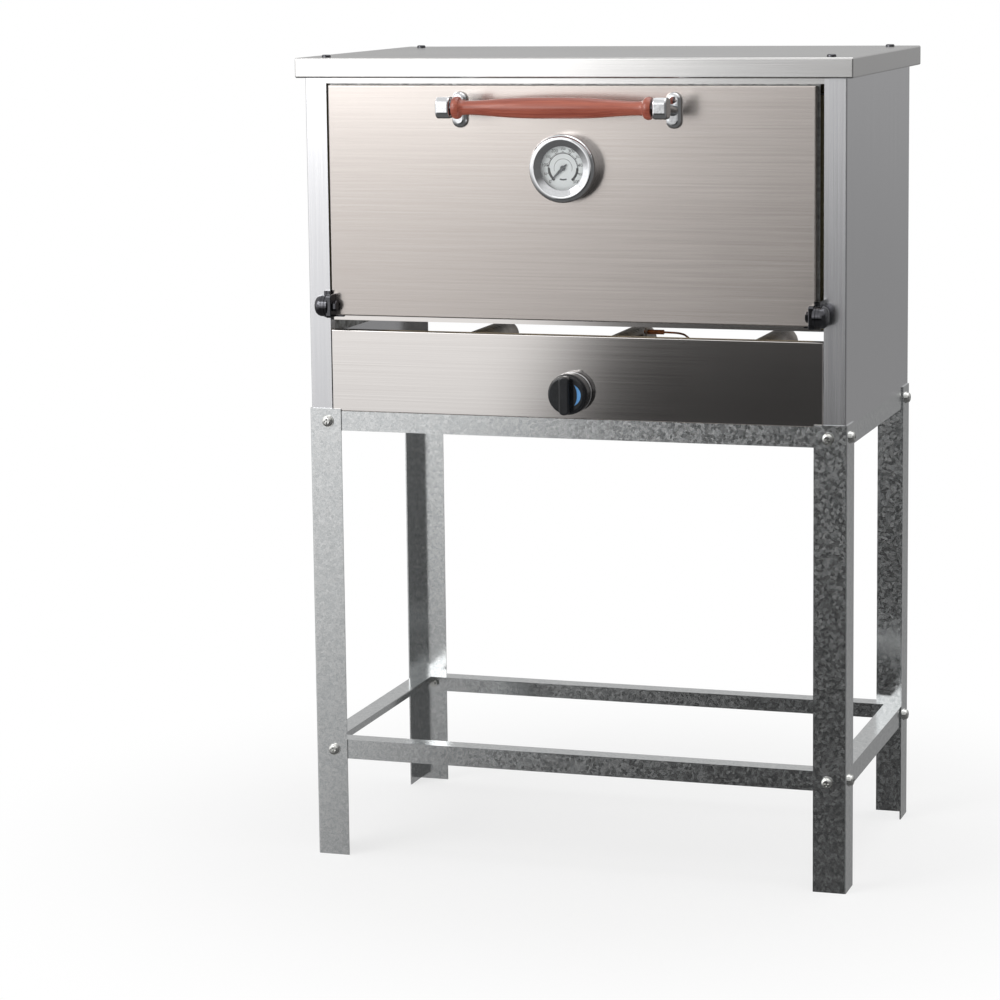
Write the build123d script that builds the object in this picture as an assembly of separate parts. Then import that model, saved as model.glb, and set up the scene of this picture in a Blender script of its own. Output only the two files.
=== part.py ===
from build123d import *

import math
import os

# Floor-standing gas pizza oven: an insulated sheet-metal cabinet on a stand of bolted angles.
# Millimetres. +Z is up, the door faces -Y, and the origin is the bottom centre of the whole oven.

# Cabinet
body_width = 665.0
body_depth = 380.0
cabinet_height = 428.0
sheet = 1.2
bend_radius = 2.0
post_width = 27.0
post_lip = 14.0
rear_flange = 20.0
top_flange = 26.0
bottom_flange = 20.0

# Roof cover
roof_side = 9.0
roof_front = 11.0
roof_rear = 26.0
roof_lip = 24.0
roof_sheet = 1.2
roof_hem = 5.0
roof_hem_round = 2.0
roof_screw_inset_x = 22.0
roof_screw_inset_y = 16.0

# Stand of equal angles
stand_height = 558.5
leg_width = 40.0
leg_gauge = 1.6
leg_over = 3.0
rail_height = 24.0
rail_width = 24.0
rail_gauge = 1.5
lower_rail_top = 147.0
bolt_inset_front = 23.0
bolt_inset_side = 20.0

# Fasteners
bolt_radius = 3.0
bolt_clearance = 0.2
bolt_head_radius = 6.5
bolt_head_height = 4.0
bolt_head_round = 3.2
bolt_recess_length = 7.0
bolt_recess_width = 1.6
bolt_recess_depth = 2.0
washer_radius = 7.5
washer_height = 1.2
nut_across = 10.0
nut_height = 5.0
bolt_tail = 3.0
screw_radius = 2.5
screw_head_radius = 5.5
screw_head_height = 3.0
screw_length = 9.0
cabinet_screw_reach = 60.0

# Fits
running = 0.05
seat_gap = 0.3
join_gap = 0.1

# Lower front: control panel, lighting slot and hearth sill
control_panel_height = 100.0
control_panel_gap = 0.8
control_panel_fold = 12.0
lighting_slot = 12.0
sill_setback = 3.0
sill_height = 17.0
sill_depth = 40.0

# Hearth
hearth_rail_reach = 57.0
hearth_rail_gauge = 1.5
hearth_rail_drop = 25.0
stone_thickness = 16.0
stone_joint = 2.0
stone_side_gap = 4.0
flame_gap = 27.0
rear_support_width = 24.0
rear_support_drop = 20.0

# Baking chamber
wall_space = 43.0
rear_space = 46.0
chamber_below_top = 42.5
liner_setback = 2.0
liner_flange = 13.5
liner_top_flange = 13.0
header_height = 29.5
header_fold = 20.0
wool_gap = 1.5

# Flue
flue_width = 236.0
flue_height = 30.0
flue_below_chamber_top = 27.0
flue_collar = 8.0
flue_inside = 2.0

# Door
door_side_gap = 7.0
door_above_panel = 19.0
door_top_gap = 1.5
door_proud = 12.5
door_return = 10.0
door_sheet = 1.0
plug_side = 22.0
plug_bottom = 14.5
plug_top = 20.5
plug_depth = 24.5
door_wool_front = 5.5
door_corner_radius = 1.5
gasket_width = 9.0
gasket_inset = 1.0
gasket_rise = 14.0

# Door hinges
hinge_ahead = 8.0
hinge_rise = 12.5
hinge_plate = 3.2
hinge_lobe_radius = 13.0
hinge_ear_top = 18.0
hinge_post_tail = 12.0
hinge_foot_length = 14.0
hinge_foot_gauge = 1.6
hinge_foot_back = 3.0
hinge_block_width = 5.0
hinge_block_front = 10.0
hinge_block_half_height = 14.0
hinge_block_round = 3.0
hinge_pin_radius = 3.0
hinge_head_across = 11.0
hinge_head_height = 4.5
cap_nut_radius = 13.0
cap_nut_length = 10.0
cap_nut_round = 8.0
cap_nut_bite = 6.0

# Handle
handle_spacing = 262.0
handle_below_door_top = 28.5
handle_rise = 5.0
handle_standoff = 58.0
handle_flange_height = 43.0
handle_flange_width = 19.5
handle_flange_gauge = 7.0
handle_flange_round = 5.5
handle_neck_radius = 7.0
handle_block_width = 17.0
handle_block_height = 25.0
handle_block_depth = 23.0
handle_block_radius = 7.5
handle_block_end_round = 2.5
handle_rod_radius = 4.0
handle_rod_bite = 9.0
handle_washer_gauge = 2.6
handle_washer_radius = 9.0
grip_belly_radius = 12.4
grip_neck_radius = 8.2
grip_end_radius = 13.3
grip_end_crown = 1.2
grip_neck_inset = 15.0
grip_end_flat = 8.0
handle_screw_bite = 14.0

# Thermometer in the door
gauge_below_door_top = 96.0
gauge_radius = 40.5
gauge_mouth_radius = 33.5
gauge_window_radius = 26.0
gauge_slope = 4.0
gauge_bezel_round = 5.5
gauge_crest_round = 1.2
gauge_proud = 24.0
gauge_lip = 5.0
gauge_wall = 3.0
gauge_floor = 1.5
gauge_dial_gauge = 0.8
gauge_dial_behind = 8.0
gauge_glass_gauge = 2.0
gauge_glass_behind = 0.0
gauge_pointer_length = 20.0
gauge_pointer_tail = 6.5
gauge_pointer_width = 3.6
gauge_pointer_gauge = 0.8
gauge_pointer_behind = 1.8
gauge_hub_radius = 3.2
gauge_staff_radius = 1.0
gauge_stem_radius = 4.5
gauge_stem_reach = 46.0
gauge_nut_across = 17.0
gauge_nut_height = 6.0
gauge_zero_angle = 225.0

# Burners
burner_radius = 18.5
burner_wall = 1.2
burner_spacing = 185.0
burner_drop = 52.5
burner_front = 110.0
burner_rear = 320.0
venturi_radius = 11.0
venturi_front = 58.0
bell_radius = 14.0
bell_length = 8.0
port_width = 2.0
port_length = 20.0
port_pitch = 12.0
port_margin = 18.0
burner_support_width = 25.0
burner_support_drop = 12.0
burner_support_inset = 12.0

# Gas train
manifold_radius = 10.5
manifold_wall = 1.8
manifold_setback = 40.0
manifold_overhang = 30.0
injector_across = 12.0
injector_hex = 6.0
injector_tip_radius = 3.5
injector_tip = 5.0
injector_bite = 2.5
valve_drop = 27.5
valve_width = 24.0
valve_height = 26.0
valve_front = 20.0
valve_depth = 30.0
valve_neck_radius = 8.0
valve_neck_length = 6.0
valve_outlet_radius = 6.0
valve_outlet_bite = 2.2
valve_inlet_across = 14.0
valve_inlet_length = 12.0
pipe_radius = 4.0
inlet_drop = 10.0
inlet_from_side = 10.5
inlet_thread_radius = 6.58
inlet_thread_length = 14.0
inlet_shoulder_radius = 7.4
inlet_shoulder = 0.5
inlet_hex_across = 17.0
inlet_hex_length = 10.0

# Control knob
knob_push = 3.2
knob_stop_gap = 0.2
knob_radius = 24.5
knob_skirt = 14.0
knob_body_radius = 23.0
knob_body = 5.0
knob_bar_width = 12.5
knob_bar_height = 46.0
knob_bar_proud = 11.0
knob_bore_depth = 15.0
knob_ring_radius = 24.7
knob_ring_gauge = 1.6
spindle_radius = 3.0
spindle_bite = 17.0
collar_radius = 6.5
collar_length = 3.0
collar_gap = 2.0
spring_radius = 6.2
spring_wall = 1.6

# Thermocouple beside the middle burner
sensor_radius = 3.0
sensor_length = 26.0
sensor_back = 272.0
sensor_rise = 14.0
sensor_start = 15.0
sensor_tab_gauge = 1.5
sensor_tab_height = 9.0
lead_radius = 1.3

# Places worked out from the sizes
front_reach = door_proud + handle_standoff + grip_belly_radius
front = -(front_reach + body_depth + roof_rear) / 2 + front_reach
rear = front + body_depth
side = body_width / 2
cabinet_top = stand_height + cabinet_height
roof_top = cabinet_top + roof_sheet
post_edge = side - post_width
control_panel_top = stand_height + control_panel_height
hearth_rail_top = control_panel_top + lighting_slot
stone_bottom = hearth_rail_top + sheet
stone_top = stone_bottom + stone_thickness
chamber_top_z = cabinet_top - chamber_below_top
header_bottom_z = cabinet_top - header_height
flue_center_z = chamber_top_z - flue_below_chamber_top
liner_side = side - sheet - wall_space
liner_rear = rear - rear_space
door_face = front - door_proud
door_back = door_face + door_return
door_side = post_edge - door_side_gap
door_bottom_z = control_panel_top + door_above_panel
door_top_z = header_bottom_z - door_top_gap
handle_z = door_top_z - handle_below_door_top
gauge_z = door_top_z - gauge_below_door_top
plug_back = door_back + plug_depth
pivot_y = door_face - hinge_ahead
pivot_z = door_bottom_z + hinge_rise
burner_z = hearth_rail_top - burner_drop
manifold_y = front + manifold_setback
valve_z = burner_z - valve_drop
valve_face = front + valve_front
valve_back = valve_face + valve_depth
knob_back = front - knob_ring_gauge - knob_push - knob_stop_gap
handle_axis_y = door_face - handle_standoff
handle_axis_z = handle_z + handle_rise
burner_places = [-burner_spacing, 0.0, burner_spacing]


def block(x, y, z):
    """Box between the low and high values of x, y and z."""
    sizes = [pair[1] - pair[0] for pair in (x, y, z)]
    middle = [(pair[0] + pair[1]) / 2 for pair in (x, y, z)]
    return Pos(*middle) * Box(*sizes)


def rod(radius, start, end):
    """Cylinder from one point to another."""
    start = Vector(*start)
    along = Vector(*end) - start
    base = Plane(origin=start, z_dir=along)
    return base * Cylinder(radius, along.length, align=(Align.CENTER, Align.CENTER, Align.MIN))


def tube(radius, bore, start, end):
    """Cylinder with a hole right through it."""
    return rod(radius, start, end) - rod(bore, start, end)


def hexagon(across, start, end):
    """Hexagonal bar from one point to another, with its size across the flats."""
    start = Vector(*start)
    along = Vector(*end) - start
    base = Plane(origin=start, z_dir=along)
    corner_radius = across / math.sqrt(3)
    return extrude(base * RegularPolygon(corner_radius, 6), along.length, dir=along)


def mirrored(shape):
    """The same piece on the other side of the oven."""
    return mirror(shape, about=Plane.YZ)


def save(name, *solids):
    """Write one named sub-part, which may hold several equal pieces."""
    pieces = []
    for solid in solids:
        pieces.extend(solid.solids())
    shape = pieces[0] if len(pieces) == 1 else Compound(children=pieces)
    shape.label = name
    export_step(shape, f"parts/{name}.step")


def bend_edges(shape, x, y, radius):
    """Round the upright edge of a sheet corner at x and y."""
    corner = [e for e in shape.edges().filter_by(Axis.Z)
              if abs(e.center().X - x) < 0.01 and abs(e.center().Y - y) < 0.01]
    return fillet(corner, radius)


# Stand
def leg_bolt_places(right, back):
    """Point on the leg's outer face and its outward direction, for its four bolts."""
    sx = 1 if right else -1
    sy = 1 if back else -1
    outer_x = sx * (side + leg_gauge)
    outer_y = (rear + leg_gauge) if back else (front - leg_gauge)
    places = []
    for rail_top in (stand_height, lower_rail_top):
        z = rail_top - rail_gauge - (rail_height - rail_gauge) / 2
        places.append(((outer_x - sx * bolt_inset_front, outer_y, z), (0, sy, 0)))
        places.append(((outer_x, outer_y - sy * bolt_inset_side, z), (sx, 0, 0)))
    return places


def bolt_hole(place, direction):
    """Clearance hole through leg and rail."""
    point = Vector(*place)
    out = Vector(*direction)
    start = point + out
    end = point - out * (leg_gauge + rail_gauge + 1)
    return rod(bolt_radius + bolt_clearance, start, end)


def stand_leg(right, back):
    """Leg of folded angle with one flange on the front or back and one on the side."""
    sx = 1 if right else -1
    sy = 1 if back else -1
    outer_x = sx * (side + leg_gauge)
    outer_y = (rear + leg_gauge) if back else (front - leg_gauge)
    across = sorted((outer_x, outer_x - sx * leg_width))
    along = sorted((outer_y, outer_y - sy * leg_width))
    height = (0, stand_height + leg_over)
    leg = block(across, sorted((outer_y, outer_y - sy * leg_gauge)), height)
    leg += block(sorted((outer_x, outer_x - sx * leg_gauge)), along, height)
    leg = bend_edges(leg, outer_x, outer_y, bend_radius)
    for place, direction in leg_bolt_places(right, back):
        leg -= bolt_hole(place, direction)
    return leg


def long_rail(back, top):
    """Angle across the front or the back, with its flat flange at the top."""
    outer = rear if back else front
    inward = -1 if back else 1
    rail = block((-side, side), sorted((outer, outer + inward * rail_gauge)), (top - rail_height, top))
    rail += block((-side + rail_gauge, side - rail_gauge), sorted((outer, outer + inward * rail_width)),
                  (top - rail_gauge, top))
    return rail


def side_rail(right, top):
    """Angle along one side; its flat flange stops at the long rails."""
    outer = side if right else -side
    inward = -1 if right else 1
    rail = block(sorted((outer, outer + inward * rail_gauge)), (front + rail_gauge, rear - rail_gauge),
                 (top - rail_height, top - rail_gauge))
    rail += block(sorted((outer, outer + inward * rail_gauge)), (front + rail_gauge, rear - rail_gauge),
                  (top - rail_height, top))
    rail += block(sorted((outer, outer + inward * rail_width)), (front + rail_width, rear - rail_width),
                  (top - rail_gauge, top))
    return rail


all_bolt_places = []
for right in (False, True):
    for back in (False, True):
        all_bolt_places.extend(leg_bolt_places(right, back))


def drilled(rail):
    """The rail with the bolt holes that reach it."""
    for place, direction in all_bolt_places:
        rail -= bolt_hole(place, direction)
    for place in cabinet_screw_places():
        rail -= screw_hole(place, (0, 0, 1))
    return rail


def stand_bolt(place, direction):
    """Domed bolt with a cross recess, put in from outside the leg."""
    point = Vector(*place)
    out = Vector(*direction)
    head_from = point + out * washer_height
    head_to = head_from + out * bolt_head_height
    tail = point - out * (leg_gauge + rail_gauge + nut_height + bolt_tail)
    head = rod(bolt_head_radius, head_from, head_to)
    rim = head.edges().filter_by(GeomType.CIRCLE).sort_by_distance(head_to)[:1]
    head = fillet(rim, bolt_head_round)
    face = Plane(origin=head_to, z_dir=out)
    head -= face * Box(bolt_recess_length, bolt_recess_width, 2 * bolt_recess_depth)
    head -= face * Box(bolt_recess_width, bolt_recess_length, 2 * bolt_recess_depth)
    return head + rod(bolt_radius, tail, head_from)


def stand_washer(place, direction):
    """Flat washer between the bolt head and the leg."""
    point = Vector(*place)
    out = Vector(*direction)
    outer = point + out * washer_height
    return tube(washer_radius, bolt_radius + bolt_clearance, point, outer)


def stand_nut(place, direction):
    """Hexagon nut against the inside of the rail."""
    inner = Vector(*place) - Vector(*direction) * (leg_gauge + rail_gauge)
    end = inner - Vector(*direction) * nut_height
    nut = hexagon(nut_across, inner, end)
    return nut - rod(bolt_radius + running, inner, end)


# Cabinet shell
def inlet_place():
    """Middle of the hole that holds the gas inlet, in the left panel's rear flange."""
    return (-side + inlet_from_side, rear - sheet, valve_z - inlet_drop)


def roof_screw_places():
    """Points on top of the roof where screws hold it to the side panels."""
    x = side - roof_screw_inset_x
    low_y = front + roof_screw_inset_y
    high_y = rear - roof_screw_inset_y
    return [(sx * x, y, roof_top) for sx in (-1, 1) for y in (low_y, high_y)]


def cabinet_screw_places():
    """Points under the top rails where screws hold the cabinet to the stand."""
    z = stand_height - rail_gauge
    side_x = side - bottom_flange / 2 - sheet
    places = [(sx * side_x, y, z) for sx in (-1, 1)
              for y in (front + cabinet_screw_reach, rear - cabinet_screw_reach)]
    panel_y = front + sheet + (control_panel_fold - sheet) / 2 + 1
    places += [(sx * (post_edge - cabinet_screw_reach), panel_y, z) for sx in (-1, 1)]
    return places


def screw(head_at, direction):
    """Pan-head sheet screw; its head lies on the point and its shank goes the given way."""
    point = Vector(*head_at)
    down = Vector(*direction)
    top = point - down * screw_head_height
    tip = point + down * screw_length
    head = rod(screw_head_radius, point, top)
    head = fillet(head.edges().sort_by_distance(top)[:1], screw_head_height * 0.6)
    return head + rod(screw_radius, point, tip)


def screw_hole(head_at, direction):
    """Hole that the same screw passes."""
    point = Vector(*head_at)
    down = Vector(*direction)
    start = point - down
    end = point + down * (screw_length + 1)
    return rod(screw_radius + running, start, end)


def side_panel_right():
    """Folded side panel: its front flange is the door post, with a lip turned back."""
    height = (stand_height, cabinet_top)
    panel = block((side - sheet, side), (front, rear), height)
    panel += block((post_edge, side), (front, front + sheet), height)
    panel += block((post_edge, post_edge + sheet), (front, front + post_lip), height)
    panel += block((side - rear_flange, side), (rear - sheet, rear), height)
    panel += block((side - top_flange, side), (front + post_lip + sheet, rear),
                   (cabinet_top - sheet, cabinet_top))
    panel += block((side - bottom_flange, side), (front + rail_width, rear),
                   (stand_height, stand_height + sheet))
    panel = bend_edges(panel, side, front, bend_radius)
    panel = bend_edges(panel, side, rear, bend_radius)
    for place in roof_screw_places():
        panel -= screw_hole(place, (0, 0, -1))
    for place in cabinet_screw_places():
        panel -= screw_hole(place, (0, 0, 1))
    return panel


def side_panel_left():
    """Mirror of the right panel, with the gas inlet's hole."""
    panel = mirrored(side_panel_right())
    x, y, z = inlet_place()
    return panel - rod(inlet_shoulder_radius + running, (x, y - 1, z), (x, rear + 1, z))


def roof_cover():
    """Flat roof wider than the cabinet, with a lip all round and a hem turned in below it."""
    across = (-side - roof_side, side + roof_side)
    along = (front - roof_front, rear + roof_rear)
    low_z = roof_top - roof_lip
    outer = block(across, along, (low_z, roof_top))
    outer = fillet(outer.edges().filter_by(Axis.Z), bend_radius)
    outer = fillet(outer.faces().sort_by(Axis.Z)[-1].edges(), bend_radius)
    outer = fillet(outer.faces().sort_by(Axis.Z)[0].edges(), roof_hem_round)
    hollow = block((across[0] + roof_sheet, across[1] - roof_sheet),
                   (along[0] + roof_sheet, along[1] - roof_sheet),
                   (low_z + roof_sheet, roof_top - roof_sheet))
    hem_reach = roof_sheet + roof_hem
    mouth = block((across[0] + hem_reach, across[1] - hem_reach), (along[0] + hem_reach, along[1] - hem_reach),
                  (low_z - 1, low_z + roof_sheet + 1))
    roof = outer - fillet(hollow.edges().filter_by(Axis.Z), bend_radius - roof_sheet / 2) - mouth
    for place in roof_screw_places():
        roof -= screw_hole(place, (0, 0, -1))
    return roof


def back_panel():
    """Rear wall of the insulated part, with a shelf that carries the wool."""
    inner = rear - sheet
    half = side - sheet - seat_gap
    bottom = hearth_rail_top - hearth_rail_gauge - sheet
    panel = block((-half, half), (inner - sheet, inner), (bottom, cabinet_top - sheet - join_gap))
    shelf_half = half - hearth_rail_gauge
    panel += block((-shelf_half, shelf_half), (liner_rear, inner), (bottom, bottom + sheet))
    return panel - flue_hole()


def flue_hole():
    """Cut for the flue duct through the rear walls."""
    half = flue_width / 2 + seat_gap
    low = flue_center_z - flue_height / 2 - seat_gap
    high = flue_center_z + flue_height / 2 + seat_gap
    return block((-half, half), (liner_rear - 5, rear + 5), (low, high))


def flue_duct():
    """Flat duct from the chamber through the rear wall."""
    half = flue_width / 2
    low = flue_center_z - flue_height / 2
    high = flue_center_z + flue_height / 2
    along = (liner_rear - flue_inside, rear + flue_collar)
    duct = block((-half, half), along, (low, high))
    inside = block((-half + sheet, half - sheet), (along[0] - 1, along[1] + 1), (low + sheet, high - sheet))
    return duct - inside


def header_panel():
    """Strip above the door, folded back under the roof."""
    panel = block((-post_edge, post_edge), (front, front + sheet), (header_bottom_z, cabinet_top))
    panel += block((-post_edge, post_edge), (front, front + header_fold), (cabinet_top - sheet, cabinet_top))
    return panel


def control_panel():
    """Shallow tray between the posts, open to the back, that carries the gas control."""
    half = post_edge - control_panel_gap
    back = front + control_panel_fold
    height = (stand_height, control_panel_top)
    panel = block((-half, half), (front, back), height)
    panel = fillet(panel.faces().sort_by(Axis.Y)[0].edges(), sheet)
    panel -= block((-half + sheet, half - sheet), (front + sheet, back + 1),
                   (height[0] + sheet, height[1] - sheet))
    panel -= rod(valve_neck_radius + seat_gap, (0, front - 1, valve_z), (0, front + sheet + 1, valve_z))
    for place in cabinet_screw_places():
        panel -= screw_hole(place, (0, 0, 1))
    return panel


# Hearth
def hearth_rail_right():
    """Angle on the side panel that carries the liner, the sill and the rear support."""
    wall = side - sheet
    along = (front + post_lip + seat_gap, rear - 2 * sheet - seat_gap)
    rail = block((wall - hearth_rail_reach, wall), along, (hearth_rail_top - hearth_rail_gauge, hearth_rail_top))
    rail += block((wall - hearth_rail_gauge, wall), along, (hearth_rail_top - hearth_rail_drop, hearth_rail_top))
    return rail


def hearth_sill():
    """Front angle: an upright strip below the door and a shelf under the stones."""
    strip_half = post_edge - hinge_plate - seat_gap
    shelf_half = liner_side - sheet - seat_gap
    face = front + sill_setback
    sill = block((-strip_half, strip_half), (face, face + sheet), (hearth_rail_top, hearth_rail_top + sill_height))
    sill += block((-shelf_half, shelf_half), (face, face + sill_depth), (hearth_rail_top, stone_bottom))
    return sill


def hearth_rear_support():
    """Angle under the rear edges of the stones."""
    half = liner_side - sheet - seat_gap
    web_half = side - sheet - hearth_rail_reach - seat_gap
    back = liner_rear - flame_gap
    support = block((-half, half), (back - rear_support_width, back), (hearth_rail_top, stone_bottom))
    support += block((-web_half, web_half), (back - rear_support_width, back - rear_support_width + sheet),
                     (stone_bottom - rear_support_drop, stone_bottom))
    return support


def hearth_stone_right():
    """Refractory slab, one of two side by side."""
    across = (stone_joint / 2, liner_side - sheet - stone_side_gap)
    along = (front + sill_setback + sheet + seat_gap, liner_rear - flame_gap)
    stone = block(across, along, (stone_bottom, stone_top))
    return chamfer(stone.faces().sort_by(Axis.Z)[-1].edges(), 1.5)


# Chamber lining
def liner_right():
    """Side sheet of the chamber, turned outward at the mouth."""
    mouth = front + liner_setback
    sheet_right = block((liner_side - sheet, liner_side), (mouth, rear - 2 * sheet - seat_gap),
                        (hearth_rail_top, chamber_top_z))
    sheet_right += block((liner_side - sheet, liner_side - sheet + liner_flange), (mouth, mouth + sheet),
                         (hearth_rail_top + sill_height + seat_gap, chamber_top_z))
    clear_of_sill = block((liner_side - sheet - 1, liner_side + 1), (mouth - 1, front + sill_setback + 2 * sheet),
                          (hearth_rail_top - 1, hearth_rail_top + sill_height + seat_gap))
    return sheet_right - clear_of_sill


def liner_top():
    """Ceiling sheet of the chamber, turned up at the mouth."""
    half = liner_side - sheet + liner_flange
    mouth = front + liner_setback
    top = block((-half, half), (mouth, rear - 2 * sheet - seat_gap), (chamber_top_z, chamber_top_z + sheet))
    top += block((-half, half), (mouth, mouth + sheet), (chamber_top_z, chamber_top_z + liner_top_flange))
    return top


def liner_back():
    """Rear sheet of the chamber."""
    half = liner_side - sheet - join_gap
    back = block((-half, half), (liner_rear, liner_rear + sheet), (hearth_rail_top, chamber_top_z - join_gap))
    return back - flue_hole()


def wool_blankets():
    """Mineral-wool blankets: two sides, top and back."""
    low_z = hearth_rail_top
    high_z = chamber_top_z
    back_y = rear - 2 * sheet - seat_gap
    right = block((liner_side + seat_gap, side - sheet - seat_gap), (front + post_lip + wool_gap, back_y),
                  (low_z, high_z))
    flange_clear = block((side - rear_flange - seat_gap, side), (rear - sheet - seat_gap, rear), (low_z, high_z))
    right -= flange_clear
    top_half = side - sheet - seat_gap
    top = block((-top_half, top_half), (front + header_fold + wool_gap, back_y),
                (chamber_top_z + sheet, cabinet_top - sheet - wool_gap))
    for place in roof_screw_places():
        top -= rod(screw_radius + 1, place, (place[0], place[1], place[2] - screw_length - 2))
    back_half = liner_side - sheet - seat_gap
    back = block((-back_half, back_half), (liner_rear + sheet, back_y), (low_z, high_z))
    back -= flue_hole()
    return [right, mirrored(right), top, back]


def door_gasket():
    """Heat-proof seal behind the door's edge; its ends stop above the door's swing."""
    outer = door_side - gasket_inset
    inner = outer - gasket_width
    along = (door_back + seat_gap, front + liner_setback)
    low_z = pivot_z + gasket_rise
    high_z = door_top_z - gasket_inset
    seal = block((-outer, outer), along, (low_z, high_z))
    mouth = block((-inner, inner), (along[0] - 1, along[1] + 1), (low_z - 1, high_z - gasket_width))
    return seal - mouth


# Door
def gauge_hole(radius):
    """Hole through the door for the thermometer's stem."""
    return rod(radius, (0, door_face - 1, gauge_z), (0, plug_back + 1, gauge_z))


def handle_screw_hole(sx):
    """Hole through the door skin for a handle screw."""
    x = sx * handle_spacing / 2
    return rod(screw_radius + running, (x, door_face - 1, handle_z), (x, door_back, handle_z))


def door_skin():
    """Outer tray of the door, open to the back."""
    skin = block((-door_side, door_side), (door_face, door_back), (door_bottom_z, door_top_z))
    skin = fillet(skin.faces().sort_by(Axis.Y)[0].edges(), door_corner_radius)
    skin -= block((-door_side + door_sheet, door_side - door_sheet), (door_face + door_sheet, door_back + 1),
                  (door_bottom_z + door_sheet, door_top_z - door_sheet))
    skin -= gauge_hole(gauge_stem_radius + running)
    for sx in (-1, 1):
        skin -= handle_screw_hole(sx)
    return skin


def plug_limits():
    """Outer limits of the part of the door that enters the mouth."""
    half = door_side - plug_side
    return (-half, half), (door_bottom_z + plug_bottom, door_top_z - plug_top)


def door_inner_pan():
    """Inner tray of the door, with a flange inside the skin's edges."""
    across, height = plug_limits()
    half = door_side - door_sheet - join_gap
    rim = (door_back - door_sheet, door_back)
    pan = block((-half, half), rim, (door_bottom_z + door_sheet + join_gap, door_top_z - door_sheet - join_gap))
    pan += block(across, (rim[0], plug_back), height)
    pan = fillet(pan.faces().sort_by(Axis.Y)[-1].edges(), door_corner_radius)
    inside_x = (across[0] + door_sheet, across[1] - door_sheet)
    inside_z = (height[0] + door_sheet, height[1] - door_sheet)
    pan -= block(inside_x, (rim[0] - 1, plug_back - door_sheet), inside_z)
    return pan - gauge_hole(gauge_stem_radius + running)


def door_wool():
    """Wool board inside the door."""
    across, height = plug_limits()
    trim = door_sheet + seat_gap
    wool = block((across[0] + trim, across[1] - trim), (door_face + door_sheet + door_wool_front, plug_back - trim),
                 (height[0] + trim, height[1] - trim))
    return wool - gauge_hole(gauge_stem_radius + 1)


# Door hinges
def hinge_profile(back_y, low_z, high_z):
    """Side view of a hinge plate: a round lobe about the pivot and a straight tail."""
    lobe = Pos(pivot_y, pivot_z) * Circle(hinge_lobe_radius)
    tail_size = (back_y - pivot_y, high_z - low_z)
    tail = Pos(pivot_y + tail_size[0] / 2, (low_z + high_z) / 2) * Rectangle(*tail_size)
    return Plane.YZ * (lobe + tail)


def hinge_plate_solid(inner_x, back_y, low_z, high_z):
    """Hinge plate between inner_x and inner_x plus its thickness, bored for the pin."""
    profile = Pos(inner_x, 0, 0) * hinge_profile(back_y, low_z, high_z)
    plate = extrude(profile, hinge_plate, dir=(1, 0, 0))
    bore = rod(hinge_pin_radius + running, (inner_x - 1, pivot_y, pivot_z),
               (inner_x + hinge_plate + 1, pivot_y, pivot_z))
    return plate - bore


def hinge_door_bracket():
    """Right-hand bracket: plate on the door's edge, foot under the door and block in front of it."""
    plate = hinge_plate_solid(door_side, door_back - seat_gap, door_bottom_z - hinge_foot_gauge,
                              pivot_z + hinge_ear_top)
    foot_side = (door_side - hinge_foot_length, door_side + hinge_plate)
    foot = block(foot_side, (door_face + 1, door_back - hinge_foot_back),
                 (door_bottom_z - hinge_foot_gauge, door_bottom_z))
    boss = block((door_side - hinge_block_width, door_side + 1), (pivot_y - hinge_block_front, door_face),
                 (pivot_z - hinge_block_half_height, pivot_z + hinge_block_half_height))
    boss = fillet(boss.faces().sort_by(Axis.Y)[0].edges().filter_by(Axis.X), hinge_block_round)
    boss = fillet(boss.faces().sort_by(Axis.X)[0].edges().filter_by(Axis.Z), 1)
    bore = rod(hinge_pin_radius + running, (door_side - hinge_block_width - 1, pivot_y, pivot_z),
               (door_side + 1, pivot_y, pivot_z))
    return plate + foot + (boss - bore)


def hinge_post_bracket():
    """Right-hand plate on the post's lip."""
    low_z = door_bottom_z - hinge_foot_gauge
    return hinge_plate_solid(post_edge - hinge_plate, front + hinge_post_tail, low_z, pivot_z + hinge_ear_top)


def hinge_bolt():
    """Right-hand pivot bolt with its head on the door's side."""
    head_x = door_side - hinge_block_width - seat_gap
    head = hexagon(hinge_head_across, (head_x - hinge_head_height, pivot_y, pivot_z), (head_x, pivot_y, pivot_z))
    head = chamfer(head.faces().sort_by(Axis.X)[0].edges(), 0.6)
    end_x = post_edge + seat_gap + cap_nut_bite
    return head + rod(hinge_pin_radius, (head_x, pivot_y, pivot_z), (end_x, pivot_y, pivot_z))


def hinge_cap_nut():
    """Right-hand domed nut in front of the post."""
    start = post_edge + seat_gap
    nut = rod(cap_nut_radius, (start, pivot_y, pivot_z), (start + cap_nut_length, pivot_y, pivot_z))
    nut = fillet(nut.edges().sort_by(Axis.X)[-1:], cap_nut_round)
    return nut - rod(hinge_pin_radius + running, (start - 1, pivot_y, pivot_z),
                     (start + cap_nut_bite + running, pivot_y, pivot_z))


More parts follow.
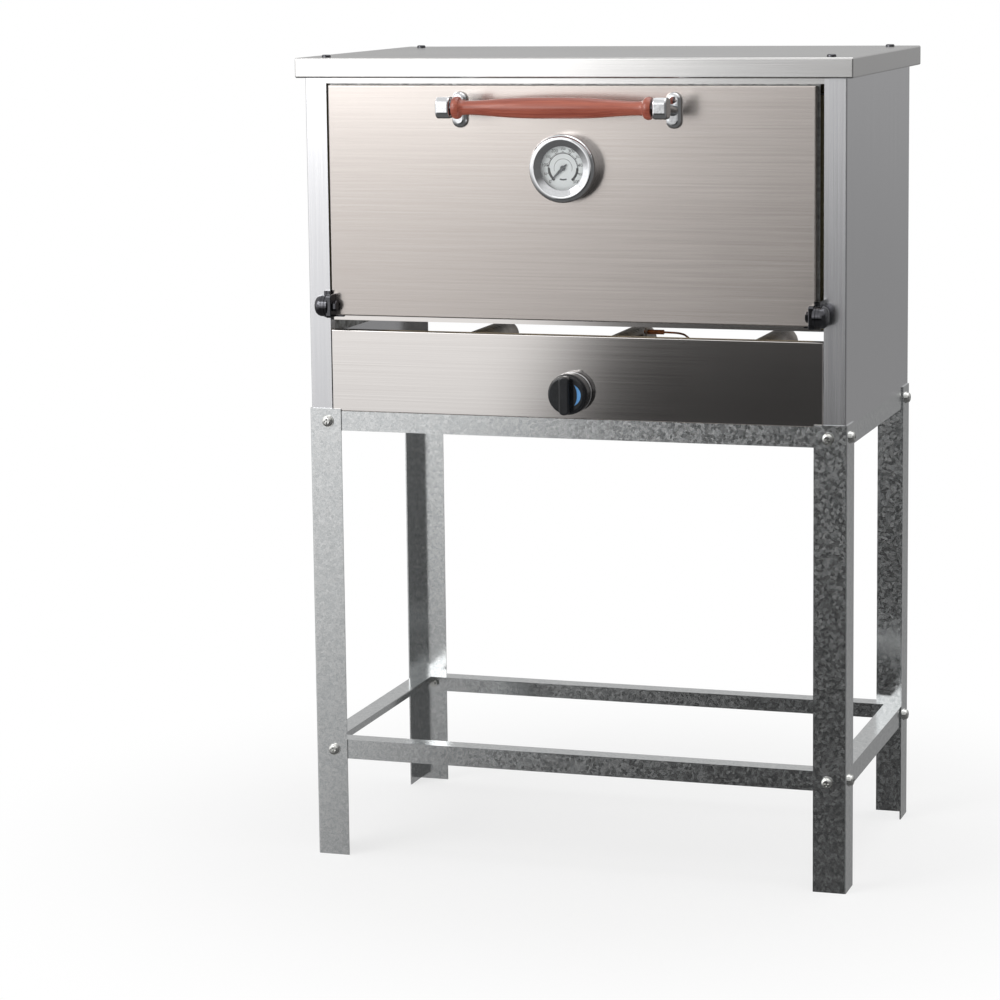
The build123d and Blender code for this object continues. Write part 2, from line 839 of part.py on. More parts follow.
# Handle
def handle_bracket():
    """Cast right-hand bracket: oblong flange on the door, neck, and a block that holds the rod."""
    x = handle_spacing / 2
    face = Plane(origin=(x, door_face, handle_z), x_dir=(1, 0, 0), z_dir=(0, -1, 0))
    outline = SlotOverall(handle_flange_height, handle_flange_width, rotation=90)
    flange = extrude(face * outline, handle_flange_gauge)
    flange = fillet(flange.faces().sort_by(Axis.Y)[0].edges(), handle_flange_round)
    block_back = handle_axis_y + handle_block_depth / 2
    neck_start = Plane(origin=(x, door_face - handle_flange_gauge / 2, handle_z), z_dir=(0, -1, 0))
    neck_end = Plane(origin=(x, block_back - 1, handle_axis_z), z_dir=(0, -1, 0))
    neck = loft([neck_start * Circle(handle_neck_radius), neck_end * Circle(handle_neck_radius * 0.85)])
    head = Pos(x, handle_axis_y, handle_axis_z) * Box(handle_block_width, handle_block_depth, handle_block_height)
    head = fillet(head.edges().filter_by(Axis.X), handle_block_radius)
    ends = head.faces().sort_by(Axis.X)[0].edges() + head.faces().sort_by(Axis.X)[-1].edges()
    head = fillet(ends, handle_block_end_round)
    bracket = flange + neck + head
    inner = x - handle_block_width / 2
    bracket -= rod(handle_rod_radius + running, (inner - 1, handle_axis_y, handle_axis_z),
                   (inner + handle_rod_bite, handle_axis_y, handle_axis_z))
    bracket -= rod(screw_radius + running, (x, door_face + 1, handle_z),
                   (x, door_face - handle_screw_bite - 1, handle_z))
    return bracket


def handle_rod():
    """Steel rod through the grip."""
    end = handle_spacing / 2 - handle_block_width / 2 + handle_rod_bite - seat_gap
    return rod(handle_rod_radius, (-end, handle_axis_y, handle_axis_z), (end, handle_axis_y, handle_axis_z))


def handle_washer():
    """Right-hand dark washer between grip and bracket."""
    inner = handle_spacing / 2 - handle_block_width / 2
    return tube(handle_washer_radius, handle_rod_radius + running,
                (inner - handle_washer_gauge, handle_axis_y, handle_axis_z), (inner, handle_axis_y, handle_axis_z))


def handle_grip():
    """Turned grip: fullest in the middle, waisted near the ends, flared at the ends."""
    half = handle_spacing / 2 - handle_block_width / 2 - handle_washer_gauge
    neck_x = half - grip_neck_inset
    flat_x = half - grip_end_flat
    mid_x = (half + flat_x) / 2
    low_radius = grip_end_radius - grip_end_crown
    left = Line((-half, 0), (-half, low_radius))
    left_flat = ThreePointArc((-half, low_radius), (-mid_x, grip_end_radius), (-flat_x, low_radius))
    left_cove = Spline((-flat_x, low_radius), (-neck_x, grip_neck_radius),
                       tangents=((0.3, -1), (1, 0)))
    belly = Spline((-neck_x, grip_neck_radius), (-neck_x * 0.55, (grip_neck_radius + 2 * grip_belly_radius) / 3),
                   (0, grip_belly_radius), (neck_x * 0.55, (grip_neck_radius + 2 * grip_belly_radius) / 3),
                   (neck_x, grip_neck_radius), tangents=((1, 0), (1, 0)))
    right_cove = Spline((neck_x, grip_neck_radius), (flat_x, low_radius), tangents=((1, 0), (0.3, 1)))
    right_flat = ThreePointArc((flat_x, low_radius), (mid_x, grip_end_radius), (half, low_radius))
    right = Polyline((half, low_radius), (half, 0), (-half, 0))
    outline = make_face(left + left_flat + left_cove + belly + right_cove + right_flat + right)
    turned = Plane(origin=(0, handle_axis_y, handle_axis_z), x_dir=(1, 0, 0), z_dir=(0, -1, 0))
    grip = revolve(turned * outline, Axis((0, handle_axis_y, handle_axis_z), (1, 0, 0)))
    bore = rod(handle_rod_radius + running, (-half - 1, handle_axis_y, handle_axis_z),
               (half + 1, handle_axis_y, handle_axis_z))
    return grip - bore


def handle_screw():
    """Right-hand screw from inside the door skin into the bracket."""
    x = handle_spacing / 2
    inside = door_face + door_sheet
    head = rod(screw_head_radius, (x, inside, handle_z), (x, inside + screw_head_height, handle_z))
    return head + rod(screw_radius, (x, inside, handle_z), (x, door_face - handle_screw_bite, handle_z))


# Thermometer
gauge_front = door_face - gauge_proud
gauge_glass_front = gauge_front + gauge_lip + gauge_glass_behind
gauge_pointer_front = gauge_glass_front + gauge_glass_gauge + gauge_pointer_behind - gauge_pointer_gauge
gauge_dial_front = gauge_front + gauge_dial_behind + gauge_glass_gauge


def gauge_housing():
    """Turned housing: a rounded bezel that slopes in to the window, in one piece with the cup."""
    cup = rod(gauge_radius, (0, gauge_front, gauge_z), (0, door_face, gauge_z))
    cup = fillet(cup.edges().sort_by(Axis.Y)[:1], gauge_bezel_round)
    cup -= Plane(origin=(0, gauge_front, gauge_z), z_dir=(0, 1, 0)) * Cone(
        gauge_mouth_radius, gauge_window_radius, gauge_slope, align=(Align.CENTER, Align.CENTER, Align.MIN))
    crest = cup.edges().filter_by(GeomType.CIRCLE).sort_by(Axis.Y)[:2].sort_by(SortBy.RADIUS)[:1]
    cup = fillet(crest, gauge_crest_round)
    window = rod(gauge_window_radius, (0, gauge_front + gauge_slope - 1, gauge_z),
                 (0, gauge_front + gauge_lip + 1, gauge_z))
    hollow = rod(gauge_radius - gauge_wall, (0, gauge_front + gauge_lip, gauge_z),
                 (0, door_face - gauge_floor, gauge_z))
    stem = rod(gauge_stem_radius + running, (0, door_face - gauge_floor - 1, gauge_z), (0, door_face + 1, gauge_z))
    return cup - window - hollow - stem


def gauge_glass():
    """Round window behind the bezel's lip."""
    radius = gauge_radius - gauge_wall - join_gap
    return rod(radius, (0, gauge_glass_front, gauge_z), (0, gauge_glass_front + gauge_glass_gauge, gauge_z))


def gauge_dial():
    """Printed dial plate on the stem's shoulder."""
    radius = gauge_radius - gauge_wall - join_gap
    back = gauge_dial_front + gauge_dial_gauge
    return tube(radius, gauge_staff_radius + 0.5, (0, gauge_dial_front, gauge_z), (0, back, gauge_z))


def gauge_stem():
    """Stem of the bimetal element: from the dial through the door into the chamber."""
    front_end = gauge_dial_front + gauge_dial_gauge
    stem = rod(gauge_stem_radius, (0, front_end, gauge_z), (0, plug_back + gauge_stem_reach, gauge_z))
    stem = fillet(stem.edges().sort_by(Axis.Y)[-1:], gauge_stem_radius * 0.8)
    staff_hole = rod(gauge_staff_radius + running, (0, front_end - 1, gauge_z), (0, front_end + 4, gauge_z))
    return stem - staff_hole


def gauge_nut():
    """Nut on the stem inside the door's inner pan."""
    nut = hexagon(gauge_nut_across, (0, plug_back, gauge_z), (0, plug_back + gauge_nut_height, gauge_z))
    return nut - rod(gauge_stem_radius + running, (0, plug_back - 1, gauge_z),
                     (0, plug_back + gauge_nut_height + 1, gauge_z))


def gauge_pointer():
    """Pointer with its hub and staff, at the low end of the scale."""
    angle = math.radians(gauge_zero_angle)
    half = gauge_pointer_width / 2
    sections = [(-gauge_pointer_tail, half * 0.4), (gauge_pointer_length * 0.25, half),
                (gauge_pointer_length, half * 0.2)]
    outline = sections + [(reach, -width) for reach, width in reversed(sections)]
    corners = [(math.cos(angle) * reach - math.sin(angle) * width, math.sin(angle) * reach + math.cos(angle) * width)
               for reach, width in outline]
    face = Plane(origin=(0, gauge_pointer_front + gauge_pointer_gauge, gauge_z), x_dir=(1, 0, 0), z_dir=(0, -1, 0))
    needle = extrude(face * make_face(Polyline(*corners, close=True)), gauge_pointer_gauge)
    hub = rod(gauge_hub_radius, (0, gauge_pointer_front, gauge_z),
              (0, gauge_pointer_front + gauge_pointer_gauge, gauge_z))
    staff_end = gauge_dial_front + gauge_dial_gauge + 3.5
    staff = rod(gauge_staff_radius, (0, gauge_pointer_front, gauge_z), (0, staff_end, gauge_z))
    return needle + hub + staff


# Burners and gas train
def burner(x):
    """Pressed burner tube with a narrower mixing tube and bell mouth in front."""
    profile = Polyline(
        (bell_radius, venturi_front),
        (venturi_radius, venturi_front + bell_length),
        (venturi_radius, burner_front),
        (burner_radius, burner_front + bell_length),
        (burner_radius, burner_rear),
        (0, burner_rear),
        (0, burner_rear - burner_wall),
        (burner_radius - burner_wall, burner_rear - burner_wall),
        (burner_radius - burner_wall, burner_front + bell_length),
        (venturi_radius - burner_wall, burner_front),
        (venturi_radius - burner_wall, venturi_front + bell_length),
        (bell_radius - burner_wall, venturi_front),
        close=True)
    turned = Plane(origin=(x, front, burner_z), x_dir=(1, 0, 0), z_dir=(0, 0, 1))
    body = revolve(turned * make_face(profile), Axis((x, front, burner_z), (0, 1, 0)))
    first = burner_front + bell_length + port_margin
    count = int((burner_rear - port_margin - first) / port_pitch) + 1
    ports = []
    for index in range(count):
        y = front + first + index * port_pitch
        ports.append(block((x - port_length / 2, x + port_length / 2), (y - port_width / 2, y + port_width / 2),
                           (burner_z + burner_radius * 0.8, burner_z + burner_radius + 1)))
    return body - ports


def sensor_axis():
    """Y and Z of the flame sensor's axis."""
    return front + sensor_back, burner_z + sensor_rise


def sensor_tab():
    """Tab welded to the middle burner that holds the flame sensor."""
    y, z = sensor_axis()
    x = sensor_start + 4
    tab = block((x, x + sensor_tab_gauge), (y - sensor_tab_height, y + sensor_tab_height),
                (burner_z - 4, z + sensor_tab_height))
    tab += block((burner_radius - burner_wall, x + sensor_tab_gauge), (y - sensor_tab_height, y + sensor_tab_height),
                 (burner_z - 4, burner_z + 2))
    return tab - rod(sensor_radius + running, (x - 1, y, z), (x + sensor_tab_gauge + 1, y, z))


def middle_burner():
    """Middle burner with the sensor's tab on its wall."""
    inside = rod(burner_radius - burner_wall, (0, front + burner_front + bell_length, burner_z),
                 (0, front + burner_rear - burner_wall, burner_z))
    return burner(0.0) + (sensor_tab() - inside)


def burner_support(y_low):
    """Angle between the side panels, under the burners."""
    half = side - sheet
    top = burner_z - burner_radius
    support = block((-half, half), (y_low, y_low + burner_support_width), (top - sheet, top))
    support += block((-half, half), (y_low, y_low + sheet), (top - burner_support_drop, top))
    return support


def gas_manifold():
    """Closed pipe across the oven that feeds the three injectors."""
    half = burner_spacing + manifold_overhang
    pipe = rod(manifold_radius, (-half, manifold_y, burner_z), (half, manifold_y, burner_z))
    inner = half - manifold_wall
    pipe -= rod(manifold_radius - manifold_wall, (-inner, manifold_y, burner_z), (inner, manifold_y, burner_z))
    for x in burner_places:
        pipe -= rod(injector_tip_radius + running, (x, manifold_y, burner_z),
                    (x, manifold_y + manifold_radius + 1, burner_z))
    pipe -= rod(valve_outlet_radius + running, (0, manifold_y, burner_z),
                (0, manifold_y, burner_z - manifold_radius - 1))
    return pipe


def injector(x):
    """Brass injector: threaded into the manifold, its tip in the burner's mouth."""
    seat = manifold_y + manifold_radius + seat_gap
    body = hexagon(injector_across, (x, seat, burner_z), (x, seat + injector_hex, burner_z))
    body += rod(injector_tip_radius, (x, manifold_y + manifold_radius - injector_bite, burner_z), (x, seat, burner_z))
    tip = Plane(origin=(x, seat + injector_hex, burner_z), z_dir=(0, 1, 0)) * Cone(
        injector_across / 2, injector_tip_radius, injector_tip, align=(Align.CENTER, Align.CENTER, Align.MIN))
    body += tip
    return body - rod(0.8, (x, manifold_y, burner_z), (x, seat + injector_hex + injector_tip + 1, burner_z))


def gas_valve():
    """Brass valve: block, neck for the spindle, outlet up to the manifold and inlet nut on its left."""
    half = valve_width / 2
    low = valve_z - valve_height / 2
    high = valve_z + valve_height / 2
    body = block((-half, half), (valve_face, valve_back), (low, high))
    body = fillet(body.edges().filter_by(Axis.Y), 3)
    body += rod(valve_neck_radius, (0, valve_face - valve_neck_length, valve_z), (0, valve_face + 1, valve_z))
    outlet_top = burner_z - manifold_radius + valve_outlet_bite
    body += rod(valve_outlet_radius, (0, manifold_y, high - 1), (0, manifold_y, outlet_top))
    pipe_y = valve_face + valve_depth / 2
    body += hexagon(valve_inlet_across, (-half - valve_inlet_length, pipe_y, valve_z), (-half + 1, pipe_y, valve_z))
    body -= rod(pipe_radius + running, (-half - valve_inlet_length - 1, pipe_y, valve_z),
                (-half - 2, pipe_y, valve_z))
    bore_end = front + spindle_bite + knob_push + collar_gap + 12
    body -= rod(spindle_radius + running, (0, valve_face - valve_neck_length - 1, valve_z), (0, bore_end, valve_z))
    body -= rod(lead_radius + running, (6, valve_back + 1, low + 6), (6, valve_back - 4, low + 6))
    return body


def spindle():
    """Turning shaft from inside the valve into the knob."""
    end = front + spindle_bite + collar_gap + 10
    start = knob_back - knob_bore_depth + seat_gap
    return rod(spindle_radius, (0, start, valve_z), (0, end, valve_z))


def spindle_collar():
    """Sliding collar that the knob pushes back against the spring."""
    start = front + sheet + collar_gap
    return tube(collar_radius, spindle_radius + running, (0, start, valve_z), (0, start + collar_length, valve_z))


def return_spring():
    """Room of the return spring at its pressed length, on the valve's neck."""
    seat = valve_face - valve_neck_length
    start = front + sheet + collar_gap + collar_length + knob_push + seat_gap
    return tube(spring_radius, spring_radius - spring_wall, (0, start, valve_z), (0, seat, valve_z))


def control_knob():
    """Knob: round skirt, smaller body and an upright grip bar, with a blind bore for the spindle."""
    skirt_front = knob_back - knob_skirt
    body_front = skirt_front - knob_body
    knob = rod(knob_radius, (0, knob_back, valve_z), (0, skirt_front, valve_z))
    knob = fillet(knob.edges().sort_by(Axis.Y)[:1], 2)
    upper = rod(knob_body_radius, (0, skirt_front + 1, valve_z), (0, body_front, valve_z))
    knob += fillet(upper.edges().sort_by(Axis.Y)[:1], 2.5)
    bar = Box(knob_bar_width, knob_bar_proud + 2, knob_bar_height)
    bar = Pos(0, body_front - knob_bar_proud / 2 + 1, valve_z) * bar
    bar = fillet(bar.edges().filter_by(Axis.Y), knob_bar_width * 0.45)
    bar = fillet(bar.faces().sort_by(Axis.Y)[0].edges(), 2)
    knob += bar
    return knob - rod(spindle_radius + running, (0, knob_back + 1, valve_z),
                      (0, knob_back - knob_bore_depth, valve_z))


def knob_ring():
    """Bright ring on the control panel behind the knob."""
    ring = tube(knob_ring_radius, valve_neck_radius + seat_gap, (0, front - knob_ring_gauge, valve_z),
                (0, front, valve_z))
    outer = ring.edges().filter_by(GeomType.CIRCLE).sort_by(Axis.Y)[:2].sort_by(SortBy.RADIUS)[-1]
    return fillet(outer, knob_ring_gauge * 0.5)


def bend_radii(points):
    """Largest bend for each corner of a route, with room kept for its neighbours."""
    radii = []
    for before, corner, after in zip(points, points[1:], points[2:]):
        run_in = Vector(*corner) - Vector(*before)
        run_out = Vector(*after) - Vector(*corner)
        half_turn = math.radians(run_in.get_angle(run_out)) / 2
        radii.append(0.45 * min(run_in.length, run_out.length) / math.tan(half_turn))
    return radii


def routed_tube(name, points, radius):
    """Tube of one thickness along straight runs joined by the largest bends."""
    radii = bend_radii(points)
    print(name, "bend radii", [round(value, 1) for value in radii])
    path = FilletPolyline(*points, radius=radii)
    start = Plane(origin=path @ 0, z_dir=path % 0)
    tube_solid = sweep(start * Circle(radius), path=path)
    filled = tube_solid.volume / (math.pi * radius ** 2 * path.length)
    print(name, "volume over section times length", round(filled, 4))
    return tube_solid


def supply_pipe():
    """Gas pipe from the rear inlet along the left wall to the valve."""
    inlet_x, inlet_y, inlet_z = inlet_place()
    pipe_y = valve_face + valve_depth / 2
    start_x = -valve_width / 2 - 2 - seat_gap
    wall_x = inlet_x
    points = [(start_x, pipe_y, valve_z),
              (-120.0, pipe_y, valve_z),
              (-200.0, pipe_y, inlet_z + 3),
              (-262.0, pipe_y, inlet_z),
              (wall_x + 14, pipe_y + 22, inlet_z),
              (wall_x, pipe_y + 80, inlet_z),
              (wall_x, inlet_y - inlet_hex_length, inlet_z)]
    return routed_tube("supply_pipe", points, pipe_radius)


def inlet_fitting():
    """Brass inlet through the rear flange: hexagon inside, thread outside."""
    x, y, z = inlet_place()
    fitting = hexagon(inlet_hex_across, (x, y - inlet_hex_length, z), (x, y, z))
    fitting += rod(inlet_shoulder_radius, (x, y - 1, z), (x, rear + inlet_shoulder, z))
    fitting += rod(inlet_thread_radius, (x, rear, z), (x, rear + inlet_thread_length, z))
    return fitting - rod(pipe_radius - 1, (x, y - inlet_hex_length - 1, z), (x, rear + inlet_thread_length + 1, z))


def thermocouple():
    """Flame sensor and its lead to the back of the valve, in one piece."""
    y, z = sensor_axis()
    end_x = sensor_start + sensor_length
    sensor = rod(sensor_radius, (sensor_start, y, z), (end_x, y, z))
    sensor = fillet(sensor.edges().sort_by(Axis.X)[:1], 2)
    low = valve_z - valve_height / 2
    points = [(end_x - 2, y, z),
              (end_x + 26, y - 6, z),
              (end_x + 46, y - 40, z - 4),
              (end_x + 44, y - 90, z - 12),
              (end_x + 24, y - 135, z - 22),
              (end_x - 2, y - 168, z - 34),
              (6.0, valve_back + 26, low + 6),
              (6.0, valve_back - 3, low + 6)]
    return sensor + routed_tube("thermocouple", points, lead_radius)


os.makedirs("parts", exist_ok=True)

for right in (False, True):
    for back in (False, True):
        name = f"leg_{'rear' if back else 'front'}_{'right' if right else 'left'}"
        save(name, stand_leg(right, back))
rail_tops = (stand_height, lower_rail_top)
save("long_rails", *[drilled(long_rail(back, top)) for top in rail_tops for back in (False, True)])
save("side_rails", *[drilled(side_rail(right, top)) for top in rail_tops for right in (False, True)])
save("stand_bolts", *[stand_bolt(*place) for place in all_bolt_places])
save("stand_washers", *[stand_washer(*place) for place in all_bolt_places])
save("stand_nuts", *[stand_nut(*place) for place in all_bolt_places])

save("side_panel_left", side_panel_left())
save("side_panel_right", side_panel_right())
save("back_panel", back_panel())
save("roof_cover", roof_cover())
save("header_panel", header_panel())
save("control_panel", control_panel())
roof_screws = [screw(place, (0, 0, -1)) for place in roof_screw_places()]
cabinet_screws = [screw(place, (0, 0, 1)) for place in cabinet_screw_places()]
save("sheet_screws", *roof_screws, *cabinet_screws)

save("hearth_rails", hearth_rail_right(), mirrored(hearth_rail_right()))
save("hearth_sill", hearth_sill())
save("hearth_rear_support", hearth_rear_support())
save("hearth_stones", hearth_stone_right(), mirrored(hearth_stone_right()))
save("liner_left", mirrored(liner_right()))
save("liner_right", liner_right())
save("liner_top", liner_top())
save("liner_back", liner_back())
save("flue_duct", flue_duct())
save("wool_blankets", *wool_blankets())
save("door_gasket", door_gasket())

save("door_skin", door_skin())
save("door_inner_pan", door_inner_pan())
save("door_wool", door_wool())
save("hinge_door_brackets", hinge_door_bracket(), mirrored(hinge_door_bracket()))
save("hinge_post_brackets", hinge_post_bracket(), mirrored(hinge_post_bracket()))
save("hinge_bolts", hinge_bolt(), mirrored(hinge_bolt()))
save("hinge_cap_nuts", hinge_cap_nut(), mirrored(hinge_cap_nut()))
save("handle_brackets", handle_bracket(), mirrored(handle_bracket()))
save("handle_grip", handle_grip())
save("handle_rod", handle_rod())
save("handle_washers", handle_washer(), mirrored(handle_washer()))
save("handle_screws", handle_screw(), mirrored(handle_screw()))

save("gauge_housing", gauge_housing())
save("gauge_glass", gauge_glass())
save("gauge_dial", gauge_dial())
save("gauge_pointer", gauge_pointer())
save("gauge_stem", gauge_stem())
save("gauge_nut", gauge_nut())

save("burner_left", burner(burner_places[0]))
save("burner_middle", middle_burner())
save("burner_right", burner(burner_places[2]))
support_rear_y = front + burner_rear - burner_support_inset - burner_support_width
support_front_y = front + burner_front + burner_support_inset
save("burner_supports", burner_support(support_front_y), burner_support(support_rear_y))
save("gas_manifold", gas_manifold())
save("injectors", *[injector(x) for x in burner_places])
save("gas_valve", gas_valve())
save("valve_return_spring", return_spring())
save("spindle_collar", spindle_collar())
save("valve_spindle", spindle())
save("control_knob", control_knob())
save("knob_ring", knob_ring())
save("supply_pipe", supply_pipe())
save("inlet_fitting", inlet_fitting())
save("thermocouple", thermocouple())
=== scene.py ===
import math

import bmesh
import bpy
from mathutils import Matrix, Vector


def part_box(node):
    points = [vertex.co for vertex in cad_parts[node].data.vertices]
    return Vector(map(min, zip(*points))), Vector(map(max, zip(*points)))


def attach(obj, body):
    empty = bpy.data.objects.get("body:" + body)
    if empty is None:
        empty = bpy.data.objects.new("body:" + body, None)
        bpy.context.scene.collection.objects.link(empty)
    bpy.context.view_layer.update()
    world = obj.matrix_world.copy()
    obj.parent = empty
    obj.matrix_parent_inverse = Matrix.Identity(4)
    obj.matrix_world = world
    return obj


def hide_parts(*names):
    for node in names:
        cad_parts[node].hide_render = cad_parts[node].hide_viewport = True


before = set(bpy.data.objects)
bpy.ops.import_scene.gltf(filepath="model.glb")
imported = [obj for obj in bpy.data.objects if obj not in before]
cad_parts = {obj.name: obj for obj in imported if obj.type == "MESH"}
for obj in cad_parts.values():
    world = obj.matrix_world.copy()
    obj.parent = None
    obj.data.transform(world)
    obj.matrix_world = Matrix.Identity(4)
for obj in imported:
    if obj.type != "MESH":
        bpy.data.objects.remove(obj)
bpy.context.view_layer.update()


# Door skin
# Satin-ground stainless sheet, folded into a shallow tray. The grinding runs across the door, so
# it spreads highlights up and down and leaves a soft warm sheen.

def hex_colour(text):
    """Linear colour of an sRGB hex value."""
    parts = [int(text[i:i + 2], 16) / 255 for i in (1, 3, 5)]
    linear = [p / 12.92 if p <= 0.04045 else ((p + 0.055) / 1.055) ** 2.4 for p in parts]
    return (*linear, 1.0)


def fill(tree, node, inputs):
    """Fill a node's inputs; each gets a value or another node's output."""
    for key, value in inputs.items():
        if isinstance(value, bpy.types.NodeSocket):
            tree.links.new(value, node.inputs[key])
        else:
            node.inputs[key].default_value = value


def add(tree, kind, inputs, **settings):
    """Add one node with its settings and inputs."""
    made = tree.nodes.new(kind)
    for key, value in settings.items():
        setattr(made, key, value)
    fill(tree, made, inputs)
    return made


# A Mix node's inputs by number: its share, then the two numbers or the two colours it mixes.
share, number_a, number_b, colour_a, colour_b = 0, 2, 3, 6, 7


def new_finish(name):
    """Material, its node tree, its shader and the place on the piece."""
    material = bpy.data.materials.new(name)
    material.use_nodes = True
    tree = material.node_tree
    place = add(tree, "ShaderNodeTexCoord", {}).outputs["Object"]
    return material, tree, tree.nodes["Principled BSDF"], place


def give(material, *names):
    """Put the material on these CAD nodes."""
    for name in names:
        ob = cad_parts[name]
        if not ob.material_slots:
            ob.data.materials.append(material)
        for held in ob.material_slots:
            held.material = material


def ground_stainless(name, light, dark, roughness, relief, lines):
    """Stainless ground in one direction; lines holds the repeats per metre on X, Y and Z."""
    material, tree, shader, place = new_finish(name)
    # Real grinding lines are about 0.1 mm apart; these are about 1 mm, so that they show.
    stretched = add(tree, "ShaderNodeMapping", {"Vector": place, "Scale": lines}).outputs[0]
    grain = add(tree, "ShaderNodeTexNoise",
                {"Vector": stretched, "Scale": 1.0, "Detail": 5.0, "Roughness": 0.65})
    cloud = add(tree, "ShaderNodeTexNoise", {"Vector": place, "Scale": 5.0, "Detail": 3.0})
    tone = add(tree, "ShaderNodeMapRange",
               {"Value": grain.outputs[0], "From Min": 0.3, "From Max": 0.7})
    colour = add(tree, "ShaderNodeMix",
                 {share: tone.outputs[0], colour_a: hex_colour(dark), colour_b: hex_colour(light)},
                 data_type="RGBA")
    smear = add(tree, "ShaderNodeMath", {0: grain.outputs[0], 1: cloud.outputs[0]}, operation="ADD")
    rough = add(tree, "ShaderNodeMapRange",
                {"Value": smear.outputs[0], "From Min": 0.6, "From Max": 1.4,
                 "To Min": roughness * 0.85, "To Max": roughness * 1.2})
    bump = add(tree, "ShaderNodeBump",
               {"Height": grain.outputs[0], "Strength": relief, "Distance": 0.0002})
    fill(tree, shader, {"Base Color": colour.outputs[2], "Roughness": rough.outputs[0],
                        "Normal": bump.outputs[0], "Metallic": 1.0})
    return material


satin_door = ground_stainless("satin_ground_stainless_door", "#d4cdc8", "#cac2bd",
                              roughness=0.22, relief=0.03, lines=(5, 900, 900))
give(satin_door, "door_skin")


# Side panels, posts, header strip and roof
# The same stainless sheet with its cooler mill grain, which runs up the sides and along the roof.
# Each side is one folded sheet that also makes the post beside the door.

upright_sheet = ground_stainless("mill_stainless_sides", "#eaeaec", "#dfdfe2",
                                 roughness=0.2, relief=0.04, lines=(900, 900, 5))
give(upright_sheet, "side_panel_left", "side_panel_right")
roof_sheet = ground_stainless("mill_stainless_roof", "#dfdedd", "#d3d2d1",
                              roughness=0.2, relief=0.04, lines=(5, 900, 900))
give(roof_sheet, "roof_cover", "header_panel")


# Control panel and hearth sill
# Bright-rolled stainless with a fine grind along it. It is much glossier than the door, so it
# mirrors the studio: light on its left, dark on its right.

bright_panel = ground_stainless("bright_ground_stainless_panel", "#ebe7e4", "#e0dbd8",
                                roughness=0.07, relief=0.012, lines=(3, 1000, 1000))
give(bright_panel, "control_panel", "hearth_sill")


# Legs, rails and inner sheets
# Galvanised steel folded into angles and bolted. Hot dipping leaves crystals a few millimetres
# across that catch the light one by one; the inner sheets have a larger, duller spangle.

def galvanised(name, light, dark, crystal, roughness):
    """Zinc spangle with crystals of the given size in millimetres."""
    material, tree, shader, place = new_finish(name)
    scale = 1000.0 / crystal
    warp = add(tree, "ShaderNodeTexNoise", {"Vector": place, "Scale": scale * 0.7, "Detail": 2.0})
    shifted = add(tree, "ShaderNodeVectorMath",
                  {0: warp.outputs[1], 1: (0.003, 0.003, 0.003)}, operation="MULTIPLY")
    moved = add(tree, "ShaderNodeVectorMath", {0: place, 1: shifted.outputs[0]}, operation="ADD")
    cells = add(tree, "ShaderNodeTexVoronoi",
                {"Vector": moved.outputs[0], "Scale": scale, "Randomness": 1.0})
    fine = add(tree, "ShaderNodeTexVoronoi", {"Vector": moved.outputs[0], "Scale": scale * 2.6})
    split = add(tree, "ShaderNodeSeparateColor", {0: cells.outputs["Color"]})
    small = add(tree, "ShaderNodeSeparateColor", {0: fine.outputs["Color"]})
    both = add(tree, "ShaderNodeMath", {0: split.outputs[0], 1: small.outputs[1]}, operation="ADD")
    tone = add(tree, "ShaderNodeMapRange",
               {"Value": both.outputs[0], "From Min": 0.3, "From Max": 1.7})
    colour = add(tree, "ShaderNodeMix",
                 {share: tone.outputs[0], colour_a: hex_colour(dark), colour_b: hex_colour(light)},
                 data_type="RGBA")
    rough = add(tree, "ShaderNodeMapRange",
                {"Value": split.outputs[1], "From Min": 0.0, "From Max": 1.0,
                 "To Min": roughness * 0.75, "To Max": roughness * 1.4})
    bump = add(tree, "ShaderNodeBump",
               {"Height": both.outputs[0], "Strength": 0.04, "Distance": 0.0002})
    fill(tree, shader, {"Base Color": colour.outputs[2], "Roughness": rough.outputs[0],
                        "Normal": bump.outputs[0], "Metallic": 1.0})
    return material


stand_zinc = galvanised("hot_dip_galvanised_stand", "#eff0f0", "#d9dcdd",
                        crystal=3.5, roughness=0.15)
give(stand_zinc, "leg_front_left", "leg_front_right", "leg_rear_left", "leg_rear_right",
     "long_rails", "side_rails")
inner_zinc = galvanised("galvanised_inner_sheet", "#b4b5b4", "#8d8e8d",
                        crystal=7.0, roughness=0.4)
give(inner_zinc, "back_panel", "hearth_rails", "hearth_rear_support", "liner_left", "liner_right",
     "liner_top", "liner_back", "flue_duct", "door_inner_pan", "burner_supports")


# Bolts, washers, nuts and handle screws
# Cold-formed steel, bright zinc plated. The plating is thin and even, with small dull patches
# where tools and hands have touched it.

material, tree, shader, place = new_finish("bright_zinc_plated_steel")
patch = add(tree, "ShaderNodeTexNoise", {"Vector": place, "Scale": 260.0, "Detail": 4.0})
tone = add(tree, "ShaderNodeMix",
           {share: patch.outputs[0], colour_a: hex_colour("#cfcfcb"),
            colour_b: hex_colour("#efefed")}, data_type="RGBA")
dull = add(tree, "ShaderNodeMapRange",
           {"Value": patch.outputs[0], "From Min": 0.3, "From Max": 0.7, "To Min": 0.08,
            "To Max": 0.2})
fill(tree, shader, {"Base Color": tone.outputs[2], "Roughness": dull.outputs[0], "Metallic": 1.0})
give(material, "stand_bolts", "stand_washers", "stand_nuts", "handle_screws", "gauge_nut")


# Sheet screws, hinges and handle washers
# Steel with a black nickel coat, glossy but a little uneven from the tumbling before plating, so
# edges show as thin bright streaks. The pointer and the spindle's collar have it too.

